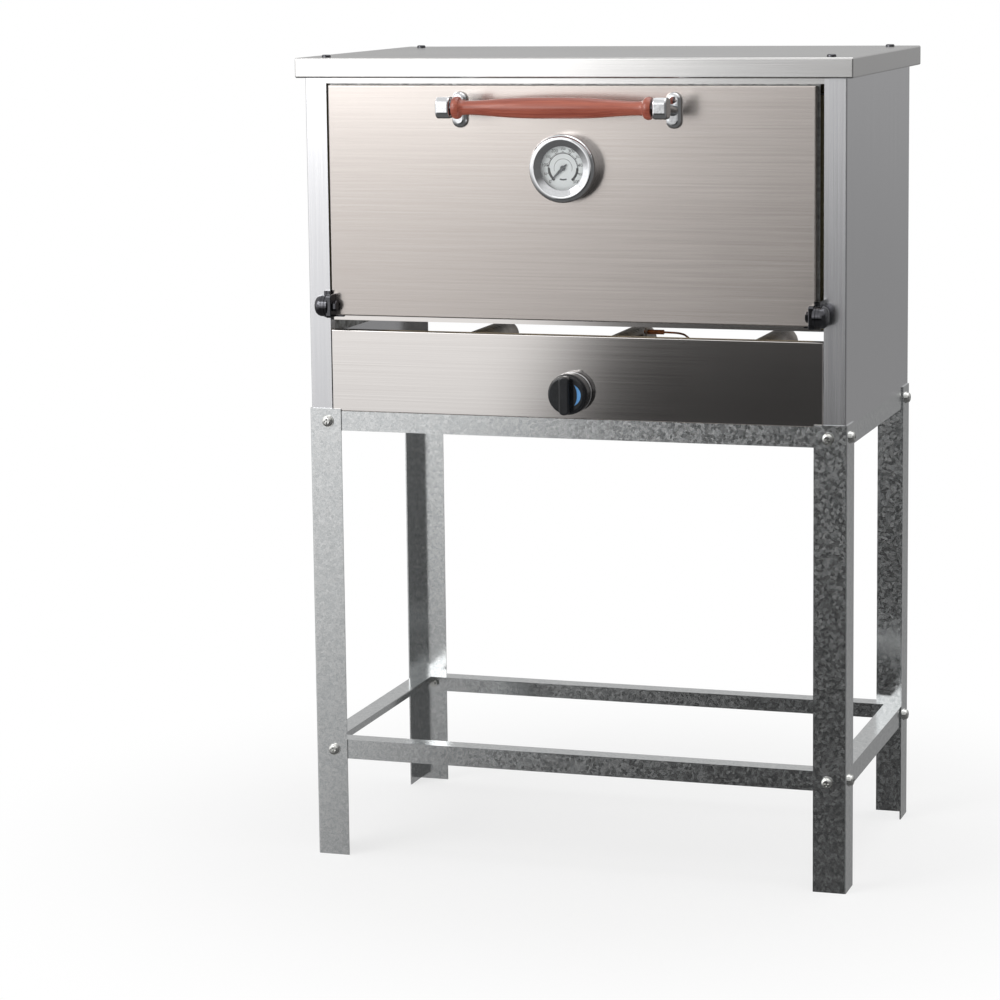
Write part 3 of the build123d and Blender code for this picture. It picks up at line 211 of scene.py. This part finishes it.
material, tree, shader, place = new_finish("black_nickel_plated_steel")
ripple = add(tree, "ShaderNodeTexNoise", {"Vector": place, "Scale": 320.0, "Detail": 3.0})
tone = add(tree, "ShaderNodeMix",
           {share: ripple.outputs[0], colour_a: hex_colour("#47474a"),
            colour_b: hex_colour("#6a6a6e")}, data_type="RGBA")
gloss = add(tree, "ShaderNodeMapRange",
            {"Value": ripple.outputs[0], "From Min": 0.3, "From Max": 0.7, "To Min": 0.03,
             "To Max": 0.09})
peel = add(tree, "ShaderNodeBump",
           {"Height": ripple.outputs[0], "Strength": 0.1, "Distance": 0.0002})
fill(tree, shader, {"Base Color": tone.outputs[2], "Roughness": gloss.outputs[0],
                    "Normal": peel.outputs[0], "Metallic": 1.0})
give(material, "sheet_screws", "hinge_door_brackets", "hinge_post_brackets", "hinge_bolts",
     "hinge_cap_nuts", "handle_washers", "gauge_pointer", "spindle_collar")


# Handle brackets, thermometer housing and knob ring
# Zinc castings, polished and chromium plated. The casting's skin leaves a very slight waviness
# under the mirror coat.

material, tree, shader, place = new_finish("polished_chrome_plate")
wave = add(tree, "ShaderNodeTexNoise", {"Vector": place, "Scale": 90.0, "Detail": 2.0})
film = add(tree, "ShaderNodeTexNoise", {"Vector": place, "Scale": 420.0, "Detail": 4.0})
tone = add(tree, "ShaderNodeMix",
           {share: film.outputs[0], colour_a: hex_colour("#d6d7da"),
            colour_b: hex_colour("#eeeff0")}, data_type="RGBA")
gloss = add(tree, "ShaderNodeMapRange",
            {"Value": film.outputs[0], "From Min": 0.35, "From Max": 0.7, "To Min": 0.04,
             "To Max": 0.11})
skin = add(tree, "ShaderNodeBump",
           {"Height": wave.outputs[0], "Strength": 0.08, "Distance": 0.0004})
fill(tree, shader, {"Base Color": tone.outputs[2], "Roughness": gloss.outputs[0],
                    "Normal": skin.outputs[0], "Metallic": 1.0})
give(material, "handle_brackets", "gauge_housing", "knob_ring")


# Handle grip
# Hardwood turned on a lathe, stained terracotta and lacquered. The grain runs along the grip, and
# the lacquer gives one long soft highlight on top.

material, tree, shader, place = new_finish("stained_turned_hardwood")
along = add(tree, "ShaderNodeMapping", {"Vector": place, "Scale": (14, 420, 420)}).outputs[0]
fibre = add(tree, "ShaderNodeTexNoise",
            {"Vector": along, "Scale": 1.0, "Detail": 6.0, "Roughness": 0.6})
figure = add(tree, "ShaderNodeTexNoise",
             {"Vector": along, "Scale": 0.22, "Detail": 2.0, "Distortion": 0.6})
mixed = add(tree, "ShaderNodeMath", {0: fibre.outputs[0], 1: figure.outputs[0]}, operation="ADD")
tone = add(tree, "ShaderNodeMapRange",
           {"Value": mixed.outputs[0], "From Min": 0.7, "From Max": 1.3})
stain = add(tree, "ShaderNodeMix",
            {share: tone.outputs[0], colour_a: hex_colour("#8e4435"),
             colour_b: hex_colour("#b8654f")}, data_type="RGBA")
pore = add(tree, "ShaderNodeBump",
           {"Height": fibre.outputs[0], "Strength": 0.18, "Distance": 0.0003})
fill(tree, shader, {"Base Color": stain.outputs[2], "Normal": pore.outputs[0]})
worn = add(tree, "ShaderNodeMapRange",
           {"Value": figure.outputs[0], "From Min": 0.35, "From Max": 0.65, "To Min": 0.24,
            "To Max": 0.42})
fill(tree, shader, {"Roughness": worn.outputs[0], "Coat Weight": 0.4, "Coat Roughness": 0.12})
give(material, "handle_grip")


# Control knob
# Moulded black phenolic with a high gloss from the tool, and a fine swirl where the resin flowed.
# A blue crescent on its face to the right of the grip bar is painted reflection: a thin blue layer
# that stands in for a blue reflection on the gloss.

material, tree, shader, place = new_finish("moulded_black_phenolic")
flow = add(tree, "ShaderNodeTexNoise",
           {"Vector": place, "Scale": 130.0, "Detail": 4.0, "Distortion": 0.5})
tone = add(tree, "ShaderNodeMix",
           {share: flow.outputs[0], colour_a: hex_colour("#101113"),
            colour_b: hex_colour("#1e2024")}, data_type="RGBA")
gloss = add(tree, "ShaderNodeMapRange",
            {"Value": flow.outputs[0], "From Min": 0.3, "From Max": 0.7, "To Min": 0.12,
             "To Max": 0.24})
fill(tree, shader, {"Base Color": tone.outputs[2], "Roughness": gloss.outputs[0]})
give(material, "control_knob")


def link_piece(name, mesh_data, material, body):
    """Finished bmesh as an object that rides on a body."""
    mesh = bpy.data.meshes.new(name)
    mesh_data.to_mesh(mesh)
    mesh_data.free()
    mesh.materials.append(material)
    ob = bpy.data.objects.new(name, mesh)
    bpy.context.scene.collection.objects.link(ob)
    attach(ob, body)
    return ob


def print_and_painted_reflection(name, light, dark):
    """Screen-printed ink, a little uneven in thickness; on the knob the same finish is a painted
    blue reflection.
    """
    material, tree, shader, place = new_finish(name)
    speck = add(tree, "ShaderNodeTexNoise", {"Vector": place, "Scale": 1500.0, "Detail": 2.0})
    tone = add(tree, "ShaderNodeMix",
               {share: speck.outputs[0], colour_a: hex_colour(dark), colour_b: hex_colour(light)},
               data_type="RGBA")
    fill(tree, shader, {"Base Color": tone.outputs[2], "Roughness": 0.55})
    return material


# The crescent below is a painted blue reflection on the knob's face, laid on as a thin layer; it is
# not print.
knob_low, knob_high = (Vector(corner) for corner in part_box("control_knob"))
bar_proud = 0.011
mark_middle = Vector((0.0, knob_low.y + bar_proud, (knob_low.z + knob_high.z) / 2))
mark_radius = 0.0158
mark_width = 0.0046
mark_reach = math.radians(50)
mark_tip = 0.08
layer_height = 0.00006
mark = bmesh.new()
ends = [mark.verts.new(mark_middle + Vector((radius, 0, 0)))
        for radius in (mark_radius - mark_width / 2, mark_radius + mark_width / 2)]
bmesh.ops.rotate(mark, verts=ends, cent=mark_middle, matrix=Matrix.Rotation(-mark_reach, 3, "Y"))
bmesh.ops.spin(mark, geom=ends + [mark.edges.new(ends)], cent=mark_middle, axis=(0, 1, 0),
               angle=2 * mark_reach, steps=32)
for vert in mark.verts:
    arm = vert.co - mark_middle
    taper = max(mark_tip, math.cos(math.atan2(arm.z, arm.x) / mark_reach * math.pi / 2))
    vert.co = mark_middle + arm.normalized() * (mark_radius + (arm.length - mark_radius) * taper)
lifted = bmesh.ops.extrude_face_region(mark, geom=mark.faces[:])
lifted_points = [item for item in lifted["geom"] if isinstance(item, bmesh.types.BMVert)]
bmesh.ops.translate(mark, vec=(0, -layer_height, 0), verts=lifted_points)
bmesh.ops.recalc_face_normals(mark, faces=mark.faces)
# Its finish is painted reflection in two blues, not ink.
painted_blue_reflection = print_and_painted_reflection("painted_blue_knob_reflection", "#7cc0f2", "#2c6fc0")
link_piece("knob_painted_reflection", mark, painted_blue_reflection, "knob")


# Thermometer dial, glass and stem
# The dial is white-lacquered aluminium with a printed scale. The window is flat clear glass held
# behind the bezel's lip, and the stem behind it is plain drawn steel.

material, tree, shader, place = new_finish("white_lacquered_dial")
haze = add(tree, "ShaderNodeTexNoise", {"Vector": place, "Scale": 60.0, "Detail": 3.0})
tone = add(tree, "ShaderNodeMix",
           {share: haze.outputs[0], colour_a: hex_colour("#dcdedf"),
            colour_b: hex_colour("#eceeef")}, data_type="RGBA")
fill(tree, shader, {"Base Color": tone.outputs[2], "Roughness": 0.5})
give(material, "gauge_dial")

material, tree, shader, place = new_finish("clear_float_glass")
touch = add(tree, "ShaderNodeTexNoise", {"Vector": place, "Scale": 70.0, "Detail": 4.0})
gloss = add(tree, "ShaderNodeMapRange",
            {"Value": touch.outputs[0], "From Min": 0.5, "From Max": 0.8, "To Min": 0.0,
             "To Max": 0.06})
fill(tree, shader, {"Roughness": gloss.outputs[0], "Base Color": hex_colour("#f8fbfa"),
                    "Transmission Weight": 1.0, "IOR": 1.5})
rays = add(tree, "ShaderNodeLightPath", {})
passing = add(tree, "ShaderNodeMath",
              {0: rays.outputs["Is Shadow Ray"], 1: rays.outputs["Is Diffuse Ray"]},
              operation="MAXIMUM")
clear = add(tree, "ShaderNodeBsdfTransparent", {})
window = add(tree, "ShaderNodeMixShader",
             {0: passing.outputs[0], 1: shader.outputs[0], 2: clear.outputs[0]})
tree.links.new(window.outputs[0], tree.nodes["Material Output"].inputs["Surface"])
give(material, "gauge_glass")

dial_ink = print_and_painted_reflection("black_dial_ink", "#2b2b2d", "#161617")
dial_low, dial_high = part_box("gauge_dial")
print_gap = 0.00004
dial_face = Vector((0.0, dial_low[1] - print_gap, (dial_low[2] + dial_high[2]) / 2))
scale_start = math.radians(225)
scale_sweep = math.radians(270)
ring_inner = 0.0171
ring_outer = 0.0178
tick_count = 50
ticks_per_number = 5
long_tick = (0.0012, 0.0199)
short_tick = (0.0006, 0.0190)
tick_middle = 0.0185
band_inner = 0.0160
band_outer = 0.0188
number_radius = 0.0226
large_number = 0.0056
small_number = 0.0040
degrees_per_number = 50
arc_steps = 120


def scale_angle(part):
    """Angle on the dial for a part of the scale from 0 to 1, clockwise from lower left."""
    return scale_start - scale_sweep * part


def print_arc(print_mesh, inner, outer, part_from, part_to):
    """Printed arc between two radii and two parts of the scale."""
    first = scale_angle(part_from)
    ray = Vector((math.cos(first), 0, math.sin(first)))
    ends = [print_mesh.verts.new(dial_face + ray * radius) for radius in (inner, outer)]
    edge = print_mesh.edges.new(ends)
    steps = max(2, int((part_to - part_from) * arc_steps))
    bmesh.ops.spin(print_mesh, geom=ends + [edge], cent=dial_face, axis=(0, 1, 0),
                   angle=scale_sweep * (part_to - part_from), steps=steps)


dial_print = bmesh.new()
for index in range(tick_count + 1):
    width, outer = long_tick if index % ticks_per_number == 0 else short_tick
    half = width / tick_middle / scale_sweep / 2
    print_arc(dial_print, ring_outer, outer, index / tick_count - half, index / tick_count + half)
print_arc(dial_print, ring_inner, ring_outer, 0.0, 1.0)
# A thick band at each end of the scale, a short bar below the pointer and a fine inner line.
print_arc(dial_print, band_inner, band_outer, -0.03, 0.17)
print_arc(dial_print, band_inner, band_outer, 0.83, 1.03)
print_arc(dial_print, 0.0126, 0.0143, 1.1, 1.235)
print_arc(dial_print, 0.0108, 0.0112, 0.1, 0.9)
bmesh.ops.recalc_face_normals(dial_print, faces=dial_print.faces)
lifted = bmesh.ops.extrude_face_region(dial_print, geom=dial_print.faces[:])
lifted_points = [item for item in lifted["geom"] if isinstance(item, bmesh.types.BMVert)]
bmesh.ops.translate(dial_print, vec=(0, -layer_height, 0), verts=lifted_points)
bmesh.ops.recalc_face_normals(dial_print, faces=dial_print.faces)
link_piece("dial_scale", dial_print, dial_ink, "door")

numbers = bmesh.new()
number_count = tick_count // ticks_per_number
for index in range(number_count + 1):
    text = bpy.data.curves.new("number", "FONT")
    text.body = str(index * degrees_per_number)
    text.size = large_number if index % 2 == 0 else small_number
    text.align_x = "CENTER"
    text.align_y = "CENTER"
    text.extrude = layer_height / 2
    holder = bpy.data.objects.new("number", text)
    bpy.context.scene.collection.objects.link(holder)
    shape = bpy.data.meshes.new_from_object(holder)
    turn = scale_angle(index / number_count)
    spot = dial_face + Vector((math.cos(turn), 0, math.sin(turn))) * number_radius
    spot.y -= layer_height / 2
    shape.transform(Matrix.Translation(spot) @ Matrix.Rotation(math.pi / 2, 4, "X"))
    numbers.from_mesh(shape)
    bpy.data.objects.remove(holder)
    bpy.data.meshes.remove(shape)
bmesh.ops.remove_doubles(numbers, verts=numbers.verts, dist=0.000001)
bmesh.ops.recalc_face_normals(numbers, faces=numbers.faces)
link_piece("dial_numbers", numbers, dial_ink, "door")


# Burners, manifold, supply pipe, handle rod and thermometer stem
# Drawn and pressed steel tube, left bare. Heat has tinted the burners straw and blue-brown
# nearest the flame, and left them duller than the cooler pipes.

material, tree, shader, place = new_finish("bare_drawn_steel_tube")
cloud = add(tree, "ShaderNodeTexNoise",
            {"Vector": place, "Scale": 22.0, "Detail": 5.0, "Roughness": 0.6})
speck = add(tree, "ShaderNodeTexNoise", {"Vector": place, "Scale": 500.0, "Detail": 3.0})
tint = add(tree, "ShaderNodeMapRange",
           {"Value": cloud.outputs[0], "From Min": 0.35, "From Max": 0.65})
tone = add(tree, "ShaderNodeMix",
           {share: tint.outputs[0], colour_a: hex_colour("#6a5f58"),
            colour_b: hex_colour("#a9a39b")}, data_type="RGBA")
dull = add(tree, "ShaderNodeMapRange",
           {"Value": speck.outputs[0], "From Min": 0.3, "From Max": 0.7, "To Min": 0.32,
            "To Max": 0.5})
scale_bump = add(tree, "ShaderNodeBump",
                 {"Height": speck.outputs[0], "Strength": 0.12, "Distance": 0.0002})
fill(tree, shader, {"Base Color": tone.outputs[2], "Roughness": dull.outputs[0],
                    "Normal": scale_bump.outputs[0], "Metallic": 1.0})
give(material, "handle_rod", "gauge_stem", "burner_left", "burner_middle", "burner_right",
     "gas_manifold", "supply_pipe")


# Injectors, valve, spindle and inlet
# Free-machining brass, turned and drilled. Fine tool rings give the ends a silky sheen, and
# handling has browned it a little.

material, tree, shader, place = new_finish("machined_brass")
rings = add(tree, "ShaderNodeMapping", {"Vector": place, "Scale": (40, 1400, 40)}).outputs[0]
turned = add(tree, "ShaderNodeTexNoise", {"Vector": rings, "Scale": 1.0, "Detail": 3.0})
brown = add(tree, "ShaderNodeTexNoise", {"Vector": place, "Scale": 80.0, "Detail": 4.0})
tone = add(tree, "ShaderNodeMix",
           {share: brown.outputs[0], colour_a: hex_colour("#a57a35"),
            colour_b: hex_colour("#dcb768")}, data_type="RGBA")
silk = add(tree, "ShaderNodeMapRange",
           {"Value": turned.outputs[0], "From Min": 0.3, "From Max": 0.7, "To Min": 0.2,
            "To Max": 0.36})
cut = add(tree, "ShaderNodeBump",
          {"Height": turned.outputs[0], "Strength": 0.15, "Distance": 0.0002})
fill(tree, shader, {"Base Color": tone.outputs[2], "Roughness": silk.outputs[0],
                    "Normal": cut.outputs[0], "Metallic": 1.0})
give(material, "injectors", "gas_valve", "inlet_fitting", "valve_spindle")


# Flame sensor and its lead
# A drawn copper capillary, annealed so that it bends by hand, with the pink-brown bloom of
# copper that has been warm.

material, tree, shader, place = new_finish("annealed_copper_capillary")
bloom = add(tree, "ShaderNodeTexNoise", {"Vector": place, "Scale": 120.0, "Detail": 4.0})
tone = add(tree, "ShaderNodeMix",
           {share: bloom.outputs[0], colour_a: hex_colour("#7a4028"),
            colour_b: hex_colour("#c98a63")}, data_type="RGBA")
fill(tree, shader, {"Base Color": tone.outputs[2], "Metallic": 1.0, "Roughness": 0.34})
give(material, "thermocouple")


# Return spring
# Music wire wound cold, held at its pressed length on the valve's neck. It stands for the plain
# sleeve that keeps its room in the model.

spring_low, spring_high = (Vector(corner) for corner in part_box("valve_return_spring"))
spring_middle = (spring_low + spring_high) / 2
wire_radius = 0.0006
coil_radius = (spring_high.x - spring_low.x) / 2 - wire_radius
coil_turns = 3
coil_steps = 28 * coil_turns
coil_rise = spring_high.y - spring_low.y - 2 * wire_radius
coil = bmesh.new()
bmesh.ops.create_circle(coil, cap_ends=False, radius=wire_radius, segments=10)
start = Vector((spring_middle.x + coil_radius, spring_low.y + wire_radius, spring_middle.z))
bmesh.ops.translate(coil, vec=start, verts=coil.verts)
bmesh.ops.spin(coil, geom=coil.verts[:] + coil.edges[:], cent=spring_middle, axis=(0, 1, 0),
               dvec=(0, coil_rise / coil_steps, 0), angle=2 * math.pi * coil_turns,
               steps=coil_steps)
open_ends = [edge for edge in coil.edges if edge.is_boundary]
bmesh.ops.holes_fill(coil, edges=open_ends, sides=12)
bmesh.ops.recalc_face_normals(coil, faces=coil.faces)
for face in coil.faces:
    face.smooth = True
material, tree, shader, place = new_finish("cold_wound_music_wire")
draw = add(tree, "ShaderNodeTexNoise", {"Vector": place, "Scale": 700.0, "Detail": 3.0})
tone = add(tree, "ShaderNodeMix",
           {share: draw.outputs[0], colour_a: hex_colour("#77777a"),
            colour_b: hex_colour("#a9a9ab")}, data_type="RGBA")
fill(tree, shader, {"Base Color": tone.outputs[2], "Metallic": 1.0, "Roughness": 0.3})
spring = link_piece("return_spring_coil", coil, material, "cabinet")
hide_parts("valve_return_spring")
give(material, "valve_return_spring")


# Fire stones
# Pressed cordierite slabs, fired once. The face is matt and sandy, with grog specks a
# millimetre or two across and a few brown baking marks.

material, tree, shader, place = new_finish("pressed_cordierite_stone")
grog = add(tree, "ShaderNodeTexVoronoi", {"Vector": place, "Scale": 520.0})
sand = add(tree, "ShaderNodeTexNoise", {"Vector": place, "Scale": 900.0, "Detail": 5.0})
baking = add(tree, "ShaderNodeTexNoise",
             {"Vector": place, "Scale": 11.0, "Detail": 5.0, "Roughness": 0.6})
speck = add(tree, "ShaderNodeMapRange",
            {"Value": grog.outputs["Distance"], "From Min": 0.12, "From Max": 0.3})
body = add(tree, "ShaderNodeMix",
           {share: speck.outputs[0], colour_a: hex_colour("#9d8a70"),
            colour_b: hex_colour("#d8c8ac")}, data_type="RGBA")
burnt = add(tree, "ShaderNodeMapRange",
            {"Value": baking.outputs[0], "From Min": 0.56, "From Max": 0.78, "To Min": 0.0,
             "To Max": 0.6})
tone = add(tree, "ShaderNodeMix",
           {share: burnt.outputs[0], colour_a: body.outputs[2], colour_b: hex_colour("#7d6348")},
           data_type="RGBA")
rise = add(tree, "ShaderNodeBump",
           {"Height": sand.outputs[0], "Strength": 0.45, "Distance": 0.0006})
fill(tree, shader, {"Base Color": tone.outputs[2], "Normal": rise.outputs[0], "Roughness": 0.92})
give(material, "hearth_stones")


# Mineral wool
# Blankets of spun rock fibre, pressed between liner and shell. The fibres lie every way in the
# layers, so the cut edges look like felt.

material, tree, shader, place = new_finish("spun_rock_wool")
layers = add(tree, "ShaderNodeMapping", {"Vector": place, "Scale": (160, 600, 420)}).outputs[0]
fibres = add(tree, "ShaderNodeTexNoise",
             {"Vector": layers, "Scale": 1.0, "Detail": 8.0, "Distortion": 1.2})
# Both colours are darker than rock wool's own, as painted shade for the slivers of wool seen
# through the gaps round the door.
tone = add(tree, "ShaderNodeMix",
           {share: fibres.outputs[0], colour_a: hex_colour("#4f4937"),
            colour_b: hex_colour("#8b8263")}, data_type="RGBA")
fuzz = add(tree, "ShaderNodeBump",
           {"Height": fibres.outputs[0], "Strength": 0.7, "Distance": 0.002})
fill(tree, shader, {"Base Color": tone.outputs[2], "Normal": fuzz.outputs[0], "Roughness": 1.0})
give(material, "wool_blankets", "door_wool")


# Door seal
# Flat braid of glass fibre, blackened, glued round the mouth. Its yarns cross every two
# millimetres or so and give it a small diagonal weave.

material, tree, shader, place = new_finish("braided_glass_fibre_seal")
slant = add(tree, "ShaderNodeMapping",
            {"Vector": place, "Rotation": (0, math.radians(45), 0)}).outputs[0]
one_way = add(tree, "ShaderNodeTexWave",
              {"Vector": slant, "Scale": 80.0, "Distortion": 0.4},
              wave_type="BANDS", bands_direction="X")
other_way = add(tree, "ShaderNodeTexWave",
                {"Vector": slant, "Scale": 80.0, "Distortion": 0.4},
                wave_type="BANDS", bands_direction="Z")
yarn = add(tree, "ShaderNodeMath",
           {0: one_way.outputs["Fac"], 1: other_way.outputs["Fac"]}, operation="MULTIPLY")
tone = add(tree, "ShaderNodeMix",
           {share: yarn.outputs[0], colour_a: hex_colour("#232323"),
            colour_b: hex_colour("#575654")}, data_type="RGBA")
weave = add(tree, "ShaderNodeBump",
            {"Height": yarn.outputs[0], "Strength": 0.6, "Distance": 0.0008})
fill(tree, shader, {"Base Color": tone.outputs[2], "Normal": weave.outputs[0], "Roughness": 0.9})
give(material, "door_gasket")


# Floor
# A plain pale studio floor. It keeps the oven's soft shadow and turns into the white backdrop
# away from it.

floor_mesh = bmesh.new()
floor_radius = 6.0
bmesh.ops.create_circle(floor_mesh, cap_ends=True, radius=floor_radius, segments=96)
mesh = bpy.data.meshes.new("studio_floor")
floor_mesh.to_mesh(mesh)
floor_mesh.free()
floor = bpy.data.objects.new("studio_floor", mesh)
bpy.context.scene.collection.objects.link(floor)
floor.visible_glossy = False
material, tree, shader, place = new_finish("pale_studio_floor")
distance = add(tree, "ShaderNodeVectorMath", {0: place}, operation="LENGTH")
fade = add(tree, "ShaderNodeMapRange",
           {"Value": distance.outputs["Value"], "From Min": 0.35, "From Max": 0.9, "To Min": 0.7,
            "To Max": 1.0}, interpolation_type="SMOOTHSTEP")
seen = add(tree, "ShaderNodeLightPath", {})
to_white = add(tree, "ShaderNodeMath",
               {0: fade.outputs[0], 1: seen.outputs["Is Camera Ray"]}, operation="MULTIPLY")
white = add(tree, "ShaderNodeEmission", {"Color": (1, 1, 1, 1), "Strength": 1.0})
blend = add(tree, "ShaderNodeMixShader",
            {0: to_white.outputs[0], 1: shader.outputs[0], 2: white.outputs[0]})
tree.links.new(blend.outputs[0], tree.nodes["Material Output"].inputs["Surface"])
fill(tree, shader, {"Base Color": hex_colour("#f6f6f6"), "Roughness": 0.9,
                    "Specular IOR Level": 0.1})
mesh.materials.append(material)


# Studio light
# One large soft lamp at the upper left, a weak one above, a small one that lights the top of the
# door, and a room that only the metal mirrors: a light card on the left, a dark gap low on the
# right, a grey wall behind, a light ceiling and a dim floor.

def soft_lamp(name, place, aim, size, power):
    """Soft lamp of a width and height at a place, aimed at a point."""
    light = bpy.data.lights.new(name, "AREA")
    light.shape = "RECTANGLE"
    light.size, light.size_y = size
    light.energy = power
    ob = bpy.data.objects.new(name, light)
    ob.location = place
    ob.rotation_euler = (Vector(aim) - Vector(place)).to_track_quat("-Z", "Y").to_euler()
    bpy.context.scene.collection.objects.link(ob)


soft_lamp("key_lamp", place=(-2.2, -2.4, 2.3), aim=(0, 0, 0.6), size=(1.8, 1.8), power=34)
soft_lamp("top_lamp", place=(0.6, 0.2, 3.4), aim=(0, 0, 0.5), size=(2.2, 2.2), power=20)
soft_lamp("door_lamp", place=(-1.0, -2.1, 1.22), aim=(-0.2, -0.17, 0.95), size=(1.1, 0.75),
          power=3.1)

# Brightness of the mirrored room's parts and of the light that falls on matt faces.
card_low, card_high = 0.52, 1.3
gap_low, gap_high = 0.04, 0.62
far_right = 0.15
wall_low, wall_high = 0.27, 0.5
ceiling_level = 0.85
floor_level = 0.13
matt_level = 0.62
backdrop_level = 1.0
# How far the card's edge leans for each step up; every other limit below is a part of the
# direction that is looked in, from -1 to 1.
card_lean = -0.3

world = bpy.data.worlds.new("studio_room")
bpy.context.scene.world = world
world.use_nodes = True
tree = world.node_tree
tree.nodes.clear()
ray = add(tree, "ShaderNodeLightPath", {})
way = add(tree, "ShaderNodeTexCoord", {}).outputs["Generated"]
part = add(tree, "ShaderNodeSeparateXYZ", {0: way})
left_card = add(tree, "ShaderNodeMapRange",
                {"Value": part.outputs[2], "From Min": -0.24, "From Max": -0.02,
                 "To Min": card_low, "To Max": card_high})
right_gap = add(tree, "ShaderNodeMapRange",
                {"Value": part.outputs[2], "From Min": -0.12, "From Max": -0.03,
                 "To Min": gap_low, "To Max": gap_high})
slant = add(tree, "ShaderNodeMath",
            {0: part.outputs[2], 1: card_lean, 2: part.outputs[0]}, operation="MULTIPLY_ADD")
card_edge = add(tree, "ShaderNodeMapRange",
                {"Value": slant.outputs[0], "From Min": -0.268, "From Max": -0.23},
                interpolation_type="SMOOTHSTEP")
gap_end = add(tree, "ShaderNodeMapRange",
              {"Value": part.outputs[0], "From Min": 0.1, "From Max": 0.5},
              interpolation_type="SMOOTHSTEP")
right_side = add(tree, "ShaderNodeMix",
                 {share: gap_end.outputs[0], number_a: right_gap.outputs[0], number_b: far_right},
                 data_type="FLOAT")
ahead = add(tree, "ShaderNodeMix",
            {share: card_edge.outputs[0], number_a: left_card.outputs[0],
             number_b: right_side.outputs[0]}, data_type="FLOAT")
rear_wall = add(tree, "ShaderNodeMapRange",
                {"Value": part.outputs[2], "From Min": -0.1, "From Max": 0.1,
                 "To Min": wall_low, "To Max": wall_high})
behind = add(tree, "ShaderNodeMapRange",
             {"Value": part.outputs[1], "From Min": -0.2, "From Max": 0.3},
             interpolation_type="SMOOTHSTEP")
room = add(tree, "ShaderNodeMix",
           {share: behind.outputs[0], number_a: ahead.outputs[0], number_b: rear_wall.outputs[0]},
           data_type="FLOAT")
above = add(tree, "ShaderNodeMapRange",
            {"Value": part.outputs[2], "From Min": 0.25, "From Max": 0.7},
            interpolation_type="SMOOTHSTEP")
below = add(tree, "ShaderNodeMapRange",
            {"Value": part.outputs[2], "From Min": -0.25, "From Max": -0.6})
lower_room = add(tree, "ShaderNodeMix",
                 {share: below.outputs[0], number_a: room.outputs[0], number_b: floor_level},
                 data_type="FLOAT")
mirrored = add(tree, "ShaderNodeMix",
               {share: above.outputs[0], number_a: lower_room.outputs[0], number_b: ceiling_level},
               data_type="FLOAT")
lit = add(tree, "ShaderNodeMix",
          {share: ray.outputs["Is Glossy Ray"], number_a: matt_level,
           number_b: mirrored.outputs[0]}, data_type="FLOAT")
plain = add(tree, "ShaderNodeMath",
            {0: ray.outputs["Is Camera Ray"], 1: ray.outputs["Is Transmission Ray"]},
            operation="MAXIMUM")
level = add(tree, "ShaderNodeMix",
            {share: plain.outputs[0], number_a: lit.outputs[0], number_b: backdrop_level},
            data_type="FLOAT")
background = add(tree, "ShaderNodeBackground",
                 {"Color": (1, 1, 1, 1), "Strength": level.outputs[0]})
add(tree, "ShaderNodeOutputWorld", {"Surface": background.outputs[0]})


# Camera
# A long lens to the right of the oven and a little above it, turned slightly, as in the
# photograph.

azimuth = math.radians(17.973)
elevation = math.radians(8.355)
roll = math.radians(-0.699)
focal_pixels = 3227.7
image_pixels = 1000.0
camera_place = Vector((1.0942, -3.8131, 1.1181))
camera_data = bpy.data.cameras.new("photo_camera")
camera_data.sensor_width = 36.0
camera_data.lens = focal_pixels / image_pixels * camera_data.sensor_width
camera_data.shift_y = -0.08
camera_data.dof.use_dof = False
camera = bpy.data.objects.new("photo_camera", camera_data)
bpy.context.scene.collection.objects.link(camera)
back = Vector((math.sin(azimuth) * math.cos(elevation),
               -math.cos(azimuth) * math.cos(elevation), math.sin(elevation)))
right = Vector((math.cos(azimuth), math.sin(azimuth), 0))
up = back.cross(right)
turned_right = math.cos(roll) * right + math.sin(roll) * up
turned_up = -math.sin(roll) * right + math.cos(roll) * up
turn = Matrix((turned_right, turned_up, back)).transposed().to_4x4()
camera.matrix_world = Matrix.Translation(camera_place) @ turn
bpy.context.scene.camera = camera
bpy.context.scene.view_settings.view_transform = "Standard"
